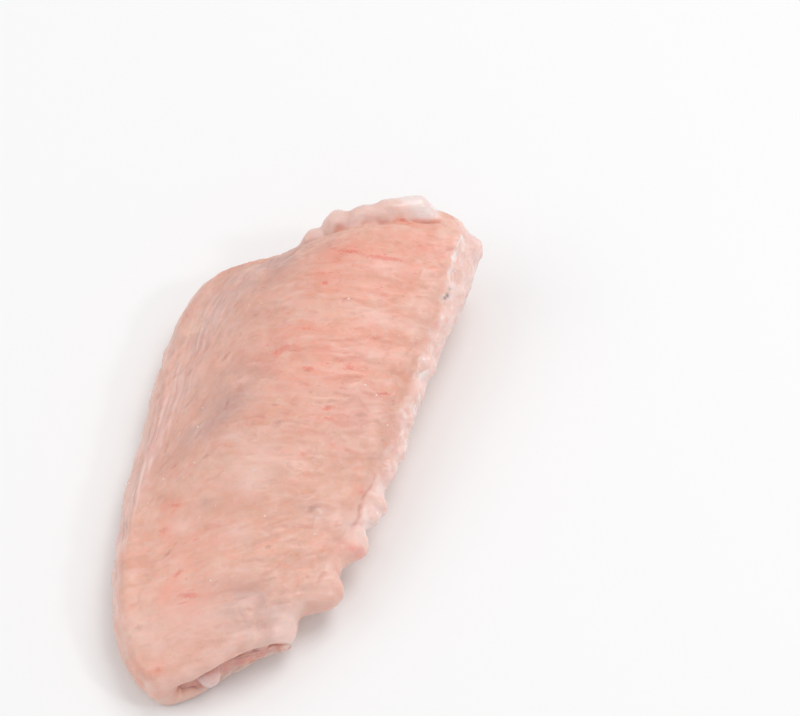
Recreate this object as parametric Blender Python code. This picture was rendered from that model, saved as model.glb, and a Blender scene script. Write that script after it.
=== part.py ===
"""Raw chicken wing: the middle joint, cut from the wing at the elbow and at the wrist.

It lies on its inner side with the outer skin up, as it would on a chopping board.
+Y runs from the wrist to the elbow, +X towards the trailing edge where the feathers grew,
+Z up. The origin is at the centre of the bounding box, on the surface that it lies on.

Three solids: the skin-covered meat, and the two forearm bones, whose ends show at both cuts.
Every section of the meat is a closed outline between the leading and the trailing edge, and
the sections are lofted from the wrist cut (0) to the elbow cut (1).
"""

import math

import bmesh
import bpy
import numpy as np
from mathutils import Vector, noise

MM = 0.001

# Plan outline in millimetres, wrist end first
LEADING_EDGE = [
    (0.5, -46.3), (-4.1, -44.8), (-8.6, -41.2), (-13.6, -35.0), (-18.4, -25.8), (-22.3, -16.0),
    (-25.6, -5.5), (-28.8, 4.5), (-31.0, 13.5), (-30.4, 20.8), (-26.0, 25.6), (-20.6, 29.4), (-17.4, 34.6),
]
TRAILING_EDGE = [
    (13.9, -29.1), (13.9, -24.6), (15.3, -17.5), (15.6, -9.0), (15.3, -1.0), (14.6, 6.0),
    (13.3, 13.5), (12.0, 21.5), (11.1, 29.5), (10.1, 38.4), (7.9, 45.2), (3.2, 46.4),
]
PLAN_CENTRE = (-6.42, 0.25)  # moves the outline so that its box is centred on the origin

# Heights above the surface it lies on, in millimetres, at these shares of the length
STATIONS = [0.0, 0.12, 0.30, 0.50, 0.70, 0.85, 0.95, 1.0]
CREST_HEIGHT = [9.6, 11.8, 14.6, 17.0, 19.2, 20.4, 20.2, 19.0]
LEADING_HEIGHT = [6.8, 7.8, 8.4, 8.4, 8.4, 9.6, 11.6, 12.2]
TRAILING_HEIGHT = [7.8, 9.2, 11.2, 13.2, 15.4, 17.0, 17.6, 17.4]
LEADING_RIM = [3.4, 3.6, 3.6, 3.6, 3.8, 4.6, 5.6, 6.0]
TRAILING_RIM = [4.4, 5.4, 7.0, 8.8, 10.6, 11.8, 12.0, 11.8]
CREST_PLACE = 0.64  # share of the width, from the leading edge
ROUND_LEADING = 0.075  # shares of the width over which an edge rounds off, on the upper side
ROUND_TRAILING = 0.11
UNDER_LEADING = 0.14  # and on the underside
UNDER_TRAILING = 0.30
ELBOW_BOW = 1.7  # mm by which this cut bulges past a straight line, most in the middle
WRIST_BOW = 1.2  # the same at the wrist, most at a quarter of the width
WRIST_LIFT = 1.4  # how far the underside of the trailing half rises off the board at the wrist
# At each cut the skin curls down: share of the length, and mm
WRIST_CURL, WRIST_CURL_DROP = 0.03, 1.1
ELBOW_CURL, ELBOW_CURL_DROP = 0.05, 3.0
END_LIFT = 0.7  # mm by which the underside leaves the board at each cut
END_LIFT_SPAN = 0.05
# The cuts slope outwards with height: mm for each mm above the level where they don't
WRIST_LEAN, ELBOW_LEAN = 0.22, 0.10
LEAN_LEVEL = 4.0
LEAN_SPAN = 0.16

# Feather follicles along the trailing edge
FOLLICLES = 16
FOLLICLE_START, FOLLICLE_END = 0.10, 0.99
FOLLICLE_RADIUS = 2.4
FOLLICLE_HEIGHT = 0.55
INNER_ROW_PLACE = 0.91
# Lobes of skin at the wrist end of that edge: place along the edge, reach and half length in mm
EDGE_LOBES = [(0.02, 0.7, 3.0), (0.13, 2.8, 3.4), (0.24, 2.1, 3.0), (0.325, 1.5, 2.8)]
LOBE_SKEW = (0.7, -0.3)  # each lobe falls steeply towards the elbow and gently towards the wrist

# Folds and wrinkles of the skin
WRINKLE_DEPTH = 0.42
WRINKLE_WIDTH = 3.4
WRINKLE_LENGTH = 15.0
WRINKLE_TURN = math.radians(28)  # the way the wrinkles run in plan, from +X
SWELL_DEPTH = 0.7
SWELL_SIZE = 13.0
RIDGE_INSET = 3.0  # the thin ridge that follows the leading edge
RIDGE_HEIGHT = 0.35
FAT_ROLL_WIDTHS = (7.4, 4.6)  # the roll of fat on top of the elbow cut, leading and trailing side
FAT_ROLL_HEIGHT = 0.5
FAT_GROOVE_DEPTH = 1.1
# Its lumps: share of the width, share of the length, radius and height in mm
FAT_LUMPS = [(0.12, 0.965, 2.6, 0.8), (0.26, 0.975, 3.2, 1.7), (0.40, 0.965, 3.0, 0.9), (0.56, 0.97, 3.4, 0.8),
             (0.735, 0.985, 3.4, 1.0)]
UNDER_HOLLOW = 2.2
PRESSED_FLAT = 0.3  # mm of relief that the board presses out of the underside

# The cuts
SKIN_THICKNESS = 0.9
LOWER_THICKNESS = 0.5
CLOSED_END = (0.42, 2.2)  # the upper lip hangs lower over this share of the width, by mm
WRIST_OVERHANG = 3.4  # how far the upper skin hangs past the meat
ELBOW_OVERHANG = 1.6
LOWER_STEP = 0.5  # the same at the lower side
CORE_ENDS = (0.24, 0.74)  # the cut's middle line, as shares of its width
MEAT_BULGE = 0.7
MEAT_LUMPS, MEAT_LUMP_SIZE = 0.8, 3.2
CUT_RINGS = (0.80, 0.55, 0.30)

# The bones: radii in mm at the wrist, the shaft and the elbow, and where they run, as shares
# of the width at these shares of the length
BONE_STATIONS = (0.0, 0.2, 0.5, 0.8, 1.0)
ULNA_PLACES = (0.76, 0.73, 0.74, 0.76, 0.71)
ULNA_RADII = (1.7, 2.2, 4.0)
RADIUS_PLACES = (0.40, 0.41, 0.45, 0.46, 0.37)
RADIUS_RADII = (1.9, 1.5, 2.8)
# How far each bone sticks out of the meat at the wrist and at the elbow
ULNA_OUT, RADIUS_OUT = (1.6, 1.6), (3.2, 1.6)
BONE_GAP = 0.3
BONE_LEVEL = 0.48  # its height as a share of the meat's height there
TUNNEL_EXTRA = 3.0
BONE_STEPS = 16
HEAD_ANGLES = (24, 50, 76)  # degrees from the tip of a bone's rounded head
BONE_BEVEL = 4  # gives 12 sides

ALONG = 68
AROUND_TOP = 42
AROUND_UNDER = 20
SEED = 7.3

SKIN_COLOUR = (0.80, 0.50, 0.38, 1.0)
BONE_COLOUR = (0.86, 0.76, 0.68, 1.0)


def hermite(places, values, at):
    """Smooth curve through the values at those places; values may be numbers or points."""
    places = np.asarray(places, float)
    values = np.asarray(values, float)
    at = np.clip(np.asarray(at, float), places[0], places[-1])
    slopes = np.gradient(values, places, axis=0)
    index = np.clip(np.searchsorted(places, at, side="right") - 1, 0, len(places) - 2)
    span = places[index + 1] - places[index]
    t = (at - places[index]) / span
    if values.ndim == 2:
        t, span = t[..., None], span[..., None]
    start, end = values[index], values[index + 1]
    return (
        (2 * t**3 - 3 * t**2 + 1) * start
        + (t**3 - 2 * t**2 + t) * span * slopes[index]
        + (-2 * t**3 + 3 * t**2) * end
        + (t**3 - t**2) * span * slopes[index + 1]
    )


def edge_curve(points, share):
    """The plan point at that share of an edge's length."""
    points = np.asarray(points, float)
    chord = np.concatenate([[0], np.cumsum(np.linalg.norm(np.diff(points, axis=0), axis=1))])
    fine = np.linspace(0, chord[-1], 400)
    path = hermite(chord, points, fine)
    length = np.concatenate([[0], np.cumsum(np.linalg.norm(np.diff(path, axis=0), axis=1))])
    wanted = np.asarray(share, float) * length[-1]
    return np.stack([np.interp(wanted, length, path[:, k]) for k in (0, 1)], axis=-1)


def rounding(distance):
    """0 at an edge and 1 past its rounding, as a quarter circle."""
    t = np.clip(distance, 0, 1)
    return np.sqrt(1 - (1 - t) ** 2)


def ease(t):
    """A smooth step from 0 to 1."""
    t = np.clip(t, 0, 1)
    return t * t * (3 - 2 * t)


def rim_height(across, along):
    """Height of the line where the upper side meets the underside."""
    leading = hermite(STATIONS, LEADING_RIM, along)
    trailing = hermite(STATIONS, TRAILING_RIM, along)
    return leading + (trailing - leading) * across


def top_height(across, along):
    """Height of the upper skin, before its folds."""
    rim = rim_height(across, along)
    crest = hermite(STATIONS, CREST_HEIGHT, along)
    leading = hermite(STATIONS, LEADING_HEIGHT, along)
    trailing = hermite(STATIONS, TRAILING_HEIGHT, along)
    rise = leading + (crest - leading) * np.sin(np.clip(across / CREST_PLACE, 0, 1) * math.pi / 2) ** 1.3
    fall = trailing + (crest - trailing) * ease((1 - across) / (1 - CREST_PLACE))
    plateau = np.where(across < CREST_PLACE, rise, fall)
    curl = WRIST_CURL_DROP * (1 - rounding(along / WRIST_CURL))
    curl += ELBOW_CURL_DROP * (1 - rounding((1 - along) / ELBOW_CURL))
    edge = rounding(across / ROUND_LEADING) * rounding((1 - across) / ROUND_TRAILING)
    return rim + (plateau - curl - rim) * edge


def under_height(across, along):
    """Height of the underside: flat on the board, rounding up to the rim at both edges."""
    rim = rim_height(across, along)
    edge = rounding(across / UNDER_LEADING) * rounding((1 - across) / UNDER_TRAILING)
    lift = END_LIFT * (1 - ease(along / END_LIFT_SPAN) * ease((1 - along) / END_LIFT_SPAN))
    lift += WRIST_LIFT * ease((across - 0.3) / 0.4) * (1 - ease(along / 0.15))
    return rim * (1 - edge) + lift * edge


def plan_point(across, along, height=LEAN_LEVEL):
    """Plan position in millimetres of a share of the width and of the length."""
    across = np.asarray(across, float)
    along = np.asarray(along, float)
    leading = edge_curve(LEADING_EDGE, along)
    trailing = edge_curve(TRAILING_EDGE, along)
    chord = trailing - leading
    lengthwise = np.stack([-chord[..., 1], chord[..., 0]], axis=-1)
    lengthwise /= np.linalg.norm(lengthwise, axis=-1, keepdims=True)
    bow = ELBOW_BOW * ease((along - 0.55) / 0.45) * 4 * across * (1 - across)
    bow -= WRIST_BOW * (1 - ease(along / 0.3)) * 9.48 * across * (1 - across) ** 3
    lean = ELBOW_LEAN * ease((along - 1 + LEAN_SPAN) / LEAN_SPAN)
    lean = lean - WRIST_LEAN * across * ease(1 - along / LEAN_SPAN)
    shift = bow + lean * (height - LEAN_LEVEL)
    return leading + chord * across[..., None] + lengthwise * shift[..., None] - np.asarray(PLAN_CENTRE)


def even_steps(across, height, width, count):
    """Shares of the width spaced evenly along a curve of the section."""
    run = np.hypot(np.diff(across * width), np.diff(height))
    length = np.concatenate([[0], np.cumsum(run)])
    return np.interp(np.linspace(0, length[-1], count), length, across)


def section_points(along):
    """One section: shares of the width, heights, and 1 on the upper side or 0 on the underside."""
    fine = (1 - np.cos(np.linspace(0, math.pi, 241))) / 2
    corners = plan_point(np.array([0.0, 1.0]), np.full(2, along))
    width = np.linalg.norm(corners[1] - corners[0])
    upper = even_steps(fine, top_height(fine, along), width, AROUND_TOP + 1)
    lower = even_steps(fine, under_height(fine, along), width, AROUND_UNDER + 1)[::-1][1:-1]
    across = np.concatenate([upper, lower])
    height = np.concatenate([top_height(upper, along), under_height(lower, along)])
    side = np.concatenate([np.ones(len(upper)), np.zeros(len(lower))])
    return across, height, side


def base_grid():
    """The smooth loft: positions in mm, shares across and along, and the side, ring by ring."""
    along = np.linspace(0, 1, ALONG)
    rings = [section_points(v) for v in along]
    across = np.array([ring[0] for ring in rings])
    height = np.array([ring[1] for ring in rings])
    side = np.array([ring[2] for ring in rings])
    share = np.repeat(along[:, None], across.shape[1], axis=1)
    plan = plan_point(across, share, height)
    return np.concatenate([plan, height[..., None]], axis=-1), across, share, side


def grid_normals(points):
    """Outward normals of the loft, from its own rings."""
    around = np.roll(points, -1, axis=1) - np.roll(points, 1, axis=1)
    lengthwise = np.gradient(points, axis=0)
    normal = np.cross(around, lengthwise)
    return normal / np.linalg.norm(normal, axis=-1, keepdims=True)


def noise_field(points, scale, turn=0.0, stretch=1.0, shift=0.0):
    """Perlin noise at each point, its cells stretched along a direction in plan."""
    cos, sin = math.cos(turn), math.sin(turn)
    run = (points[..., 0] * cos + points[..., 1] * sin) / (scale * stretch)
    rise = (-points[..., 0] * sin + points[..., 1] * cos) / scale
    depth = points[..., 2] / scale
    flat = np.stack([run, rise, depth], axis=-1).reshape(-1, 3) + SEED + shift
    values = [noise.noise(Vector(p)) for p in flat]
    return np.array(values).reshape(points.shape[:-1])


def dome(points, centre, radius):
    """A rounded bump: 1 at its centre and 0 past its radius."""
    distance = np.linalg.norm(points - centre, axis=-1) / radius
    return np.clip(1 - distance**2, 0, 1) ** 1.5


def follicle_bumps(points):
    """Two staggered rows of follicle bumps along the trailing edge."""
    raised = np.zeros(points.shape[:-1])
    places = np.linspace(FOLLICLE_START, FOLLICLE_END, FOLLICLES)
    step = places[1] - places[0]
    for k, place in enumerate(places):
        swell = 1 + 0.25 * math.sin(2.4 * k)
        for across, along, size in ((0.995, place, 1.0), (INNER_ROW_PLACE, place - step / 2, 0.75)):
            plan = plan_point(np.array(across), np.array(along))
            height = top_height(np.array(across), np.array(along))
            bump = dome(points, np.append(plan, height), FOLLICLE_RADIUS * size * swell)
            raised = np.maximum(raised, FOLLICLE_HEIGHT * size * swell * bump)
    return raised


def edge_lobes(points):
    """Lobes at the wrist end of the trailing edge, each with a groove behind it."""
    raised = np.zeros(points.shape[:-1])
    for place, reach, half in EDGE_LOBES:
        plan = plan_point(np.array(1.0), np.array(place))
        height = rim_height(np.array(1.0), np.array(place))
        tip = np.append(plan, height)
        onward = plan_point(np.array(1.0), np.array(place + 0.02)) - plan
        onward = np.append(onward / np.linalg.norm(onward), 0.0)
        run = (points - tip) @ onward
        skewed = points + (run * np.where(run > 0, *LOBE_SKEW))[..., None] * onward
        raised += reach * dome(skewed, tip, half * 1.25)
        behind = np.append(plan_point(np.array(0.84), np.array(place + 0.02)), height + 5.0)
        raised -= 0.45 * dome(points, behind, half)
    return raised


def leading_ridge(across, along, side, width):
    """A thin ridge that follows the leading edge on the upper side, with a groove inside it."""
    inset = across * width
    ridge = np.exp(-(((inset - RIDGE_INSET) / 0.9) ** 2))
    groove = np.exp(-(((inset - RIDGE_INSET - 2.4) / 1.3) ** 2))
    fade = ease((along - 0.06) / 0.12) * ease((0.95 - along) / 0.1)
    return side * fade * (RIDGE_HEIGHT * ridge - 0.5 * RIDGE_HEIGHT * groove)


def fat_roll(points, across, along, side):
    """The roll of fat behind a groove along the elbow cut, with its lumps."""
    end = plan_point(across, np.ones_like(along))
    inset = np.linalg.norm(points[..., :2] - end, axis=-1)
    spread = ease((across - 0.04) / 0.12) * ease((0.84 - across) / 0.1)
    width = FAT_ROLL_WIDTHS[0] + (FAT_ROLL_WIDTHS[1] - FAT_ROLL_WIDTHS[0]) * across
    groove = np.exp(-(((inset - width) / 1.4) ** 2))
    roll = np.exp(-(((inset - width * 0.4) / 2.2) ** 2))
    raised = spread * (FAT_ROLL_HEIGHT * roll - FAT_GROOVE_DEPTH * groove)
    for place, share, radius, height in FAT_LUMPS:
        spot = np.array(place), np.array(share)
        raised += height * dome(points, np.append(plan_point(*spot), top_height(*spot)), radius)
    return side * raised


def skin_relief(points, across, along, side):
    """Height in mm of every fold, bump and groove along the surface's own normal."""
    ends = plan_point(np.stack([across[:, 0] * 0, across[:, 0] * 0 + 1], axis=1), along[:, :2])
    width = np.linalg.norm(ends[:, 1] - ends[:, 0], axis=-1)[:, None]
    stretch = WRINKLE_LENGTH / WRINKLE_WIDTH
    wrinkles = noise_field(points, WRINKLE_WIDTH, WRINKLE_TURN, stretch)
    swell = noise_field(points, SWELL_SIZE, shift=11.0)
    upper = 0.35 + 0.65 * side
    relief = WRINKLE_DEPTH * wrinkles * upper + SWELL_DEPTH * swell * upper
    relief += leading_ridge(across, along, side, width)
    relief += fat_roll(points, across, along, side)
    relief += edge_lobes(points)
    return relief + follicle_bumps(points)


def under_hollows(points, side):
    """Shallow hollows where the inner side doesn't quite touch the board."""
    field = noise_field(points * (1, 1, 0), 10.0, math.radians(75), 2.2, shift=31.0)
    return (1 - side) * UNDER_HOLLOW * np.clip(field - 0.06, 0, 1)


def skin_grid():
    """The finished skin as rings of points in mm."""
    points, across, along, side = base_grid()
    relief = skin_relief(points, across, along, side)
    moved = points + grid_normals(points) * relief[..., None]
    moved[..., 2] += under_hollows(points, side)
    moved[..., 2] -= (1 - side) * np.clip(moved[..., 2], 0, PRESSED_FLAT)
    moved[..., 2] = np.maximum(moved[..., 2], 0.0)
    return moved


def cut_rings(ring, inwards, overhang):
    """Rings that close a cut: the skin's thickness, the step back to the meat, then the meat."""
    leading, trailing = ring[0], ring[AROUND_TOP]
    start = leading + (trailing - leading) * CORE_ENDS[0]
    end = leading + (trailing - leading) * CORE_ENDS[1]
    start[2] = end[2] = 0.5 * (ring[:, 2].max() + ring[:, 2].min())
    core = end - start
    share = np.clip((ring - start) @ core / (core @ core), 0, 1)
    nearest = start + share[:, None] * core
    towards = nearest - ring
    reach = np.linalg.norm(towards, axis=1, keepdims=True)
    upper = ease((ring[:, 2] - start[2]) / (0.6 * (ring[:, 2].max() - start[2])))[:, None]
    chord = trailing - leading
    place = ((ring - leading) @ chord / (chord @ chord))[:, None]
    thickness = LOWER_THICKNESS + (SKIN_THICKNESS - LOWER_THICKNESS) * upper
    thickness += CLOSED_END[1] * (1 - ease(place / CLOSED_END[0])) * (0.35 + 0.65 * upper)
    lip = ring + towards / reach * thickness
    back = lip + inwards * (LOWER_STEP + (overhang - LOWER_STEP) * upper)
    rings = [lip, back]
    nearest += inwards * ((0.5 * (LOWER_STEP + overhang)) - MEAT_BULGE)
    for share_left in CUT_RINGS:
        inner = nearest + (back - nearest) * share_left
        lumps = np.array([noise.noise(Vector(p) / MEAT_LUMP_SIZE + Vector((SEED, 0, 0))) for p in inner])
        rings.append(inner + inwards * (MEAT_LUMPS * lumps[:, None]))
    return rings, rings[-1].mean(axis=0)


def wing_mesh():
    """The skin-covered meat as one closed mesh, in metres."""
    skin = skin_grid()
    across_cut = skin[0, AROUND_TOP] - skin[0, 0]
    at_wrist = np.cross((0, 0, 1), across_cut)
    across_elbow = skin[-1, AROUND_TOP] - skin[-1, 0]
    at_elbow = -np.cross((0, 0, 1), across_elbow)
    wrist, wrist_middle = cut_rings(skin[0], at_wrist / np.linalg.norm(at_wrist), WRIST_OVERHANG)
    elbow, elbow_middle = cut_rings(skin[-1], at_elbow / np.linalg.norm(at_elbow), ELBOW_OVERHANG)
    rings = wrist[::-1] + list(skin) + elbow
    count = len(rings[0])
    points = np.concatenate([np.concatenate(rings), [wrist_middle, elbow_middle]]) * MM
    faces = []
    for ring in range(len(rings) - 1):
        for k in range(count):
            after = (k + 1) % count
            low, high = ring * count, (ring + 1) * count
            faces.append((low + k, high + k, high + after, low + after))
    last = (len(rings) - 1) * count
    first_middle, last_middle = len(points) - 2, len(points) - 1
    for k in range(count):
        after = (k + 1) % count
        faces.append((first_middle, k, after))
        faces.append((last_middle, last + after, last + k))
    mesh = bpy.data.meshes.new("wing")
    mesh.from_pydata(points.tolist(), [], faces)
    outward = bmesh.new()
    outward.from_mesh(mesh)
    bmesh.ops.recalc_face_normals(outward, faces=outward.faces)
    outward.to_mesh(mesh)
    outward.free()
    return mesh


def bone_path(places, out):
    """The middle line of a bone in mm, past both cuts by what sticks out."""
    along = np.array(BONE_STATIONS)
    across = np.array(places)
    below = under_height(across, along)
    height = below + BONE_LEVEL * (top_height(across, along) - below)
    spots = np.concatenate([plan_point(across, along), height[:, None]], axis=1)
    for end, inner, length in ((0, 1, out[0] - 0.5 * WRIST_OVERHANG), (-1, -2, out[1] - 0.5 * ELBOW_OVERHANG)):
        way = spots[end] - spots[inner]
        spots[end] += way / np.linalg.norm(way) * length
    return hermite(along, spots, np.linspace(0, 1, BONE_STEPS))


def bone_radii(path, radii):
    """The radius at each point of a bone: a slim shaft that swells towards the heads."""
    wrist, shaft, elbow = radii
    steps = np.linalg.norm(np.diff(path, axis=0), axis=1)
    share = np.concatenate([[0], np.cumsum(steps)]) / steps.sum()
    swell_wrist = np.exp(-((share / 0.12) ** 2))
    swell_elbow = np.exp(-(((1 - share) / 0.14) ** 2))
    return shaft + (wrist - shaft) * swell_wrist + (elbow - shaft) * swell_elbow


def with_heads(path, width):
    """Adds the rings of both rounded heads, with the share of the width that each ring keeps."""
    angles = np.radians(HEAD_ANGLES)
    heads = []
    for tip, inner, head in ((path[0], path[1], width[0]), (path[-1], path[-2], width[-1])):
        way = (tip - inner) / np.linalg.norm(tip - inner)
        heads.append(tip - np.outer(head * (1 - np.cos(angles)), way))
    count = len(angles)
    spots = np.concatenate([heads[0], path[1:-1], heads[1][::-1]])
    sizes = np.concatenate([np.full(count, width[0]), width[1:-1], np.full(count, width[-1])])
    kept = np.concatenate([np.sin(angles), np.ones(len(path) - 2), np.sin(angles)[::-1]])
    return spots, sizes, kept


def bone_tube(name, places, radii, out, gap, collection):
    """A bone, or with a gap the cutter for its tunnel, as a mesh object."""
    path = bone_path(places, out)
    path, width, kept = with_heads(path, bone_radii(path, radii))
    if gap:
        width += gap
        outer = [tip + (tip - inner) / np.linalg.norm(tip - inner) * TUNNEL_EXTRA
                 for tip, inner in ((path[0], path[1]), (path[-1], path[-2]))]
        path = np.concatenate([[outer[0]], path, [outer[1]]])
        width = np.concatenate([width[:1], width, width[-1:]])
    else:
        width *= kept
    curve = bpy.data.curves.new(name, "CURVE")
    curve.dimensions = "3D"
    curve.bevel_depth = MM
    curve.bevel_resolution = BONE_BEVEL
    curve.use_fill_caps = True
    spline = curve.splines.new("POLY")
    spline.points.add(len(path) - 1)
    for point, spot, radius in zip(spline.points, path, width):
        point.co = (*(spot * MM), 1.0)
        point.radius = radius
    guide = bpy.data.objects.new(name + "_curve", curve)
    collection.objects.link(guide)
    graph = bpy.context.evaluated_depsgraph_get()
    mesh = bpy.data.meshes.new_from_object(guide.evaluated_get(graph))
    bpy.data.objects.remove(guide)
    welded = bmesh.new()
    welded.from_mesh(mesh)
    bmesh.ops.remove_doubles(welded, verts=welded.verts, dist=1e-6)
    bmesh.ops.recalc_face_normals(welded, faces=welded.faces)
    welded.to_mesh(mesh)
    welded.free()
    mesh.name = name
    tube = bpy.data.objects.new(name, mesh)
    collection.objects.link(tube)
    return tube


def material(name, colour, roughness):
    """A plain Principled finish."""
    made = bpy.data.materials.new(name)
    made.use_nodes = True
    shader = made.node_tree.nodes["Principled BSDF"]
    shader.inputs["Base Color"].default_value = colour
    shader.inputs["Roughness"].default_value = roughness
    shader.inputs["Metallic"].default_value = 0.0
    return made


def finish(obj, made):
    """Gives an object its material and smooth shading."""
    obj.data.materials.clear()
    obj.data.materials.append(made)
    obj.data.shade_smooth()


def clear_scene():
    """Removes what the scene starts with."""
    for obj in list(bpy.data.objects):
        bpy.data.objects.remove(obj)


def main():
    """Builds the wing, its bones and the tunnels that hold them."""
    clear_scene()
    parts = bpy.data.collections.new("chicken_wing")
    cutters = bpy.data.collections.new("cutters")
    for collection in (parts, cutters):
        bpy.context.scene.collection.children.link(collection)

    wing = bpy.data.objects.new("wing", wing_mesh())
    parts.objects.link(wing)
    skin = material("raw_skin", SKIN_COLOUR, 0.42)
    bone = material("bone_and_cartilage", BONE_COLOUR, 0.35)
    finish(wing, skin)

    bones = (
        ("ulna", ULNA_PLACES, ULNA_RADII, ULNA_OUT),
        ("radius", RADIUS_PLACES, RADIUS_RADII, RADIUS_OUT),
    )
    for name, places, radii, out in bones:
        finish(bone_tube(name, places, radii, out, 0.0, parts), bone)
        cutter = bone_tube(name + "_tunnel", places, radii, out, BONE_GAP, cutters)
        cutter.hide_render = True
        cutter.display_type = "WIRE"
        tunnel = wing.modifiers.new(name + "_tunnel", "BOOLEAN")
        tunnel.operation = "DIFFERENCE"
        tunnel.object = cutter
        tunnel.solver = "EXACT"


main()
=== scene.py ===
"""Dresses the raw chicken wing: moist, finely folded skin, the flesh at both cuts and the cartilage
heads of the two forearm bones, on a pale floor under soft studio light.

The wing lies with its outer skin up. +Y runs from the wrist cut to the elbow cut, +X to the
trailing edge with its row of feather follicles. Shapes are worked out in millimetres.
"""

from __future__ import annotations

import logging
import math
from dataclasses import dataclass, field
from enum import Enum

import bmesh
import bpy
import numpy as np
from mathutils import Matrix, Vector, noise


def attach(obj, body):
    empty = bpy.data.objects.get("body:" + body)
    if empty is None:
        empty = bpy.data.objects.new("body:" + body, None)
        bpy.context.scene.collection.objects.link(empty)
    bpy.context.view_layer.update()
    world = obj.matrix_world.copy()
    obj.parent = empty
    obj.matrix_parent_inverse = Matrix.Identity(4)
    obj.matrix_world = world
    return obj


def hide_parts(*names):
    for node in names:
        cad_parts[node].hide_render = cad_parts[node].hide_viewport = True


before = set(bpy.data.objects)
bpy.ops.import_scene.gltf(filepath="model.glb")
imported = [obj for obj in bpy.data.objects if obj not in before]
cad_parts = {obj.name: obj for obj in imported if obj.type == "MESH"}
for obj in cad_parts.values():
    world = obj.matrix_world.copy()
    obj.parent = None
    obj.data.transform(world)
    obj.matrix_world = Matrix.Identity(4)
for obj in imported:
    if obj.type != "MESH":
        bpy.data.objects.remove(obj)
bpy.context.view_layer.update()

MM = 0.001
PER_MM = 1000.0
NOISE_SEED = 7.3
EDGE_LENGTH = 96.0
log = logging.getLogger("wing")

Colour = tuple[float, float, float, float]
Points = np.ndarray
Socket = bpy.types.NodeSocket
Value = Socket | float | tuple
Piece, Finish, Tree = bpy.types.Object, bpy.types.Material, bpy.types.NodeTree
Zones = dict[str, Points]
SHADER_TREE, MESH_TREE = "ShaderNodeTree", "GeometryNodeTree"
VECTOR, GEOMETRY, MATERIAL = "NodeSocketVector", "NodeSocketGeometry", "NodeSocketMaterial"
FLOAT, COLOUR = "NodeSocketFloat", "NodeSocketColor"
NOISE_LOOKS = ("Detail", "Roughness", "Distortion")
SOCKETS = {float: FLOAT, int: "NodeSocketInt", tuple: COLOUR}


class Cut(Enum):
    """The two ends where the joint was cut from the wing."""

    WRIST = "wrist"
    ELBOW = "elbow"


def srgb(red: int, green: int, blue: int) -> Colour:
    """A linear colour from 8-bit display values.

    Args:
        red: Display red, 0 to 255.
        green: Display green, 0 to 255.
        blue: Display blue, 0 to 255.

    Returns:
        Linear red, green and blue, with alpha 1.
    """
    parts = [value / 255 for value in (red, green, blue)]
    linear = [c / 12.92 if c <= 0.04045 else ((c + 0.055) / 1.055) ** 2.4 for c in parts]
    return (linear[0], linear[1], linear[2], 1.0)


def ease(t: Points) -> Points:
    """A smooth step from 0 to 1."""
    t = np.clip(t, 0, 1)
    return t * t * (3 - 2 * t)


def rounding(t: Points) -> Points:
    """0 at an edge and 1 past its rounding, as a quarter circle."""
    return np.sqrt(1 - (1 - np.clip(t, 0, 1)) ** 2)


def hermite(places: tuple | Points, values: tuple | Points, at: Points) -> Points:
    """A smooth curve through values.

    Args:
        places: Rising positions of the values.
        values: Numbers or points to pass through.
        at: Positions to read.

    Returns:
        The value at each position.
    """
    places = np.asarray(places, float)
    values = np.asarray(values, float)
    at = np.clip(np.asarray(at, float), places[0], places[-1])
    slopes = np.gradient(values, places, axis=0)
    index = np.clip(np.searchsorted(places, at, side="right") - 1, 0, len(places) - 2)
    span = places[index + 1] - places[index]
    t = (at - places[index]) / span
    if values.ndim == 2:
        t, span = t[..., None], span[..., None]
    start, end = values[index], values[index + 1]
    return (
        (2 * t**3 - 3 * t**2 + 1) * start
        + (t**3 - 2 * t**2 + t) * span * slopes[index]
        + (-2 * t**3 + 3 * t**2) * end
        + (t**3 - t**2) * span * slopes[index + 1]
    )


def perlin(points: Points, scale: float, shift: float = 0.0) -> Points:
    """Perlin noise, about -1 to 1.

    Args:
        points: Points in the last axis, already turned and stretched.
        scale: Size of a cell.
        shift: Moves the pattern, so that two fields differ.

    Returns:
        One value for each point.
    """
    flat = (points / scale).reshape(-1, 3) + shift
    return np.array([noise.noise(Vector(p)) for p in flat]).reshape(points.shape[:-1])


def dome(points: Points, centre: Points, radius: float) -> Points:
    """A rounded bump: 1 at its centre and 0 past its radius."""
    distance = np.linalg.norm(points - centre, axis=-1) / radius
    return np.clip(1 - distance**2, 0, 1) ** 1.5


def gauss(distance: Points, width: float) -> Points:
    """A bell curve: 1 at no distance."""
    return np.exp(-((distance / width) ** 2))


def unit(vectors: Points) -> Points:
    """Vectors of length 1, in the last axis."""
    return vectors / np.linalg.norm(vectors, axis=-1, keepdims=True)


def distance(points: Points, centre: Points) -> Points:
    """How far each point is from a centre, or from its own one."""
    return np.linalg.norm(points - centre, axis=-1)


def lengths(line: Points) -> Points:
    """Length of a line from its start to each of its points."""
    return np.concatenate([[0], np.cumsum(np.linalg.norm(np.diff(line, axis=0), axis=1))])


def folded_noise(points: Points, scale: float, turn: float, stretch: float, shift: float = 0.0) -> Points:
    """Perlin noise whose cells are stretched along a direction in plan.

    Args:
        points: Points in mm.
        scale: Width of a cell.
        turn: The direction, from +X.
        stretch: Length of a cell over its width.
        shift: Moves the pattern, so that two fields differ.

    Returns:
        One value for each point, about -1 to 1.
    """
    cos, sin = math.cos(turn), math.sin(turn)
    run = (points[..., 0] * cos + points[..., 1] * sin) / stretch
    rise = -points[..., 0] * sin + points[..., 1] * cos
    return perlin(np.stack([run, rise, points[..., 2]], axis=-1), scale, NOISE_SEED + shift)


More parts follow.
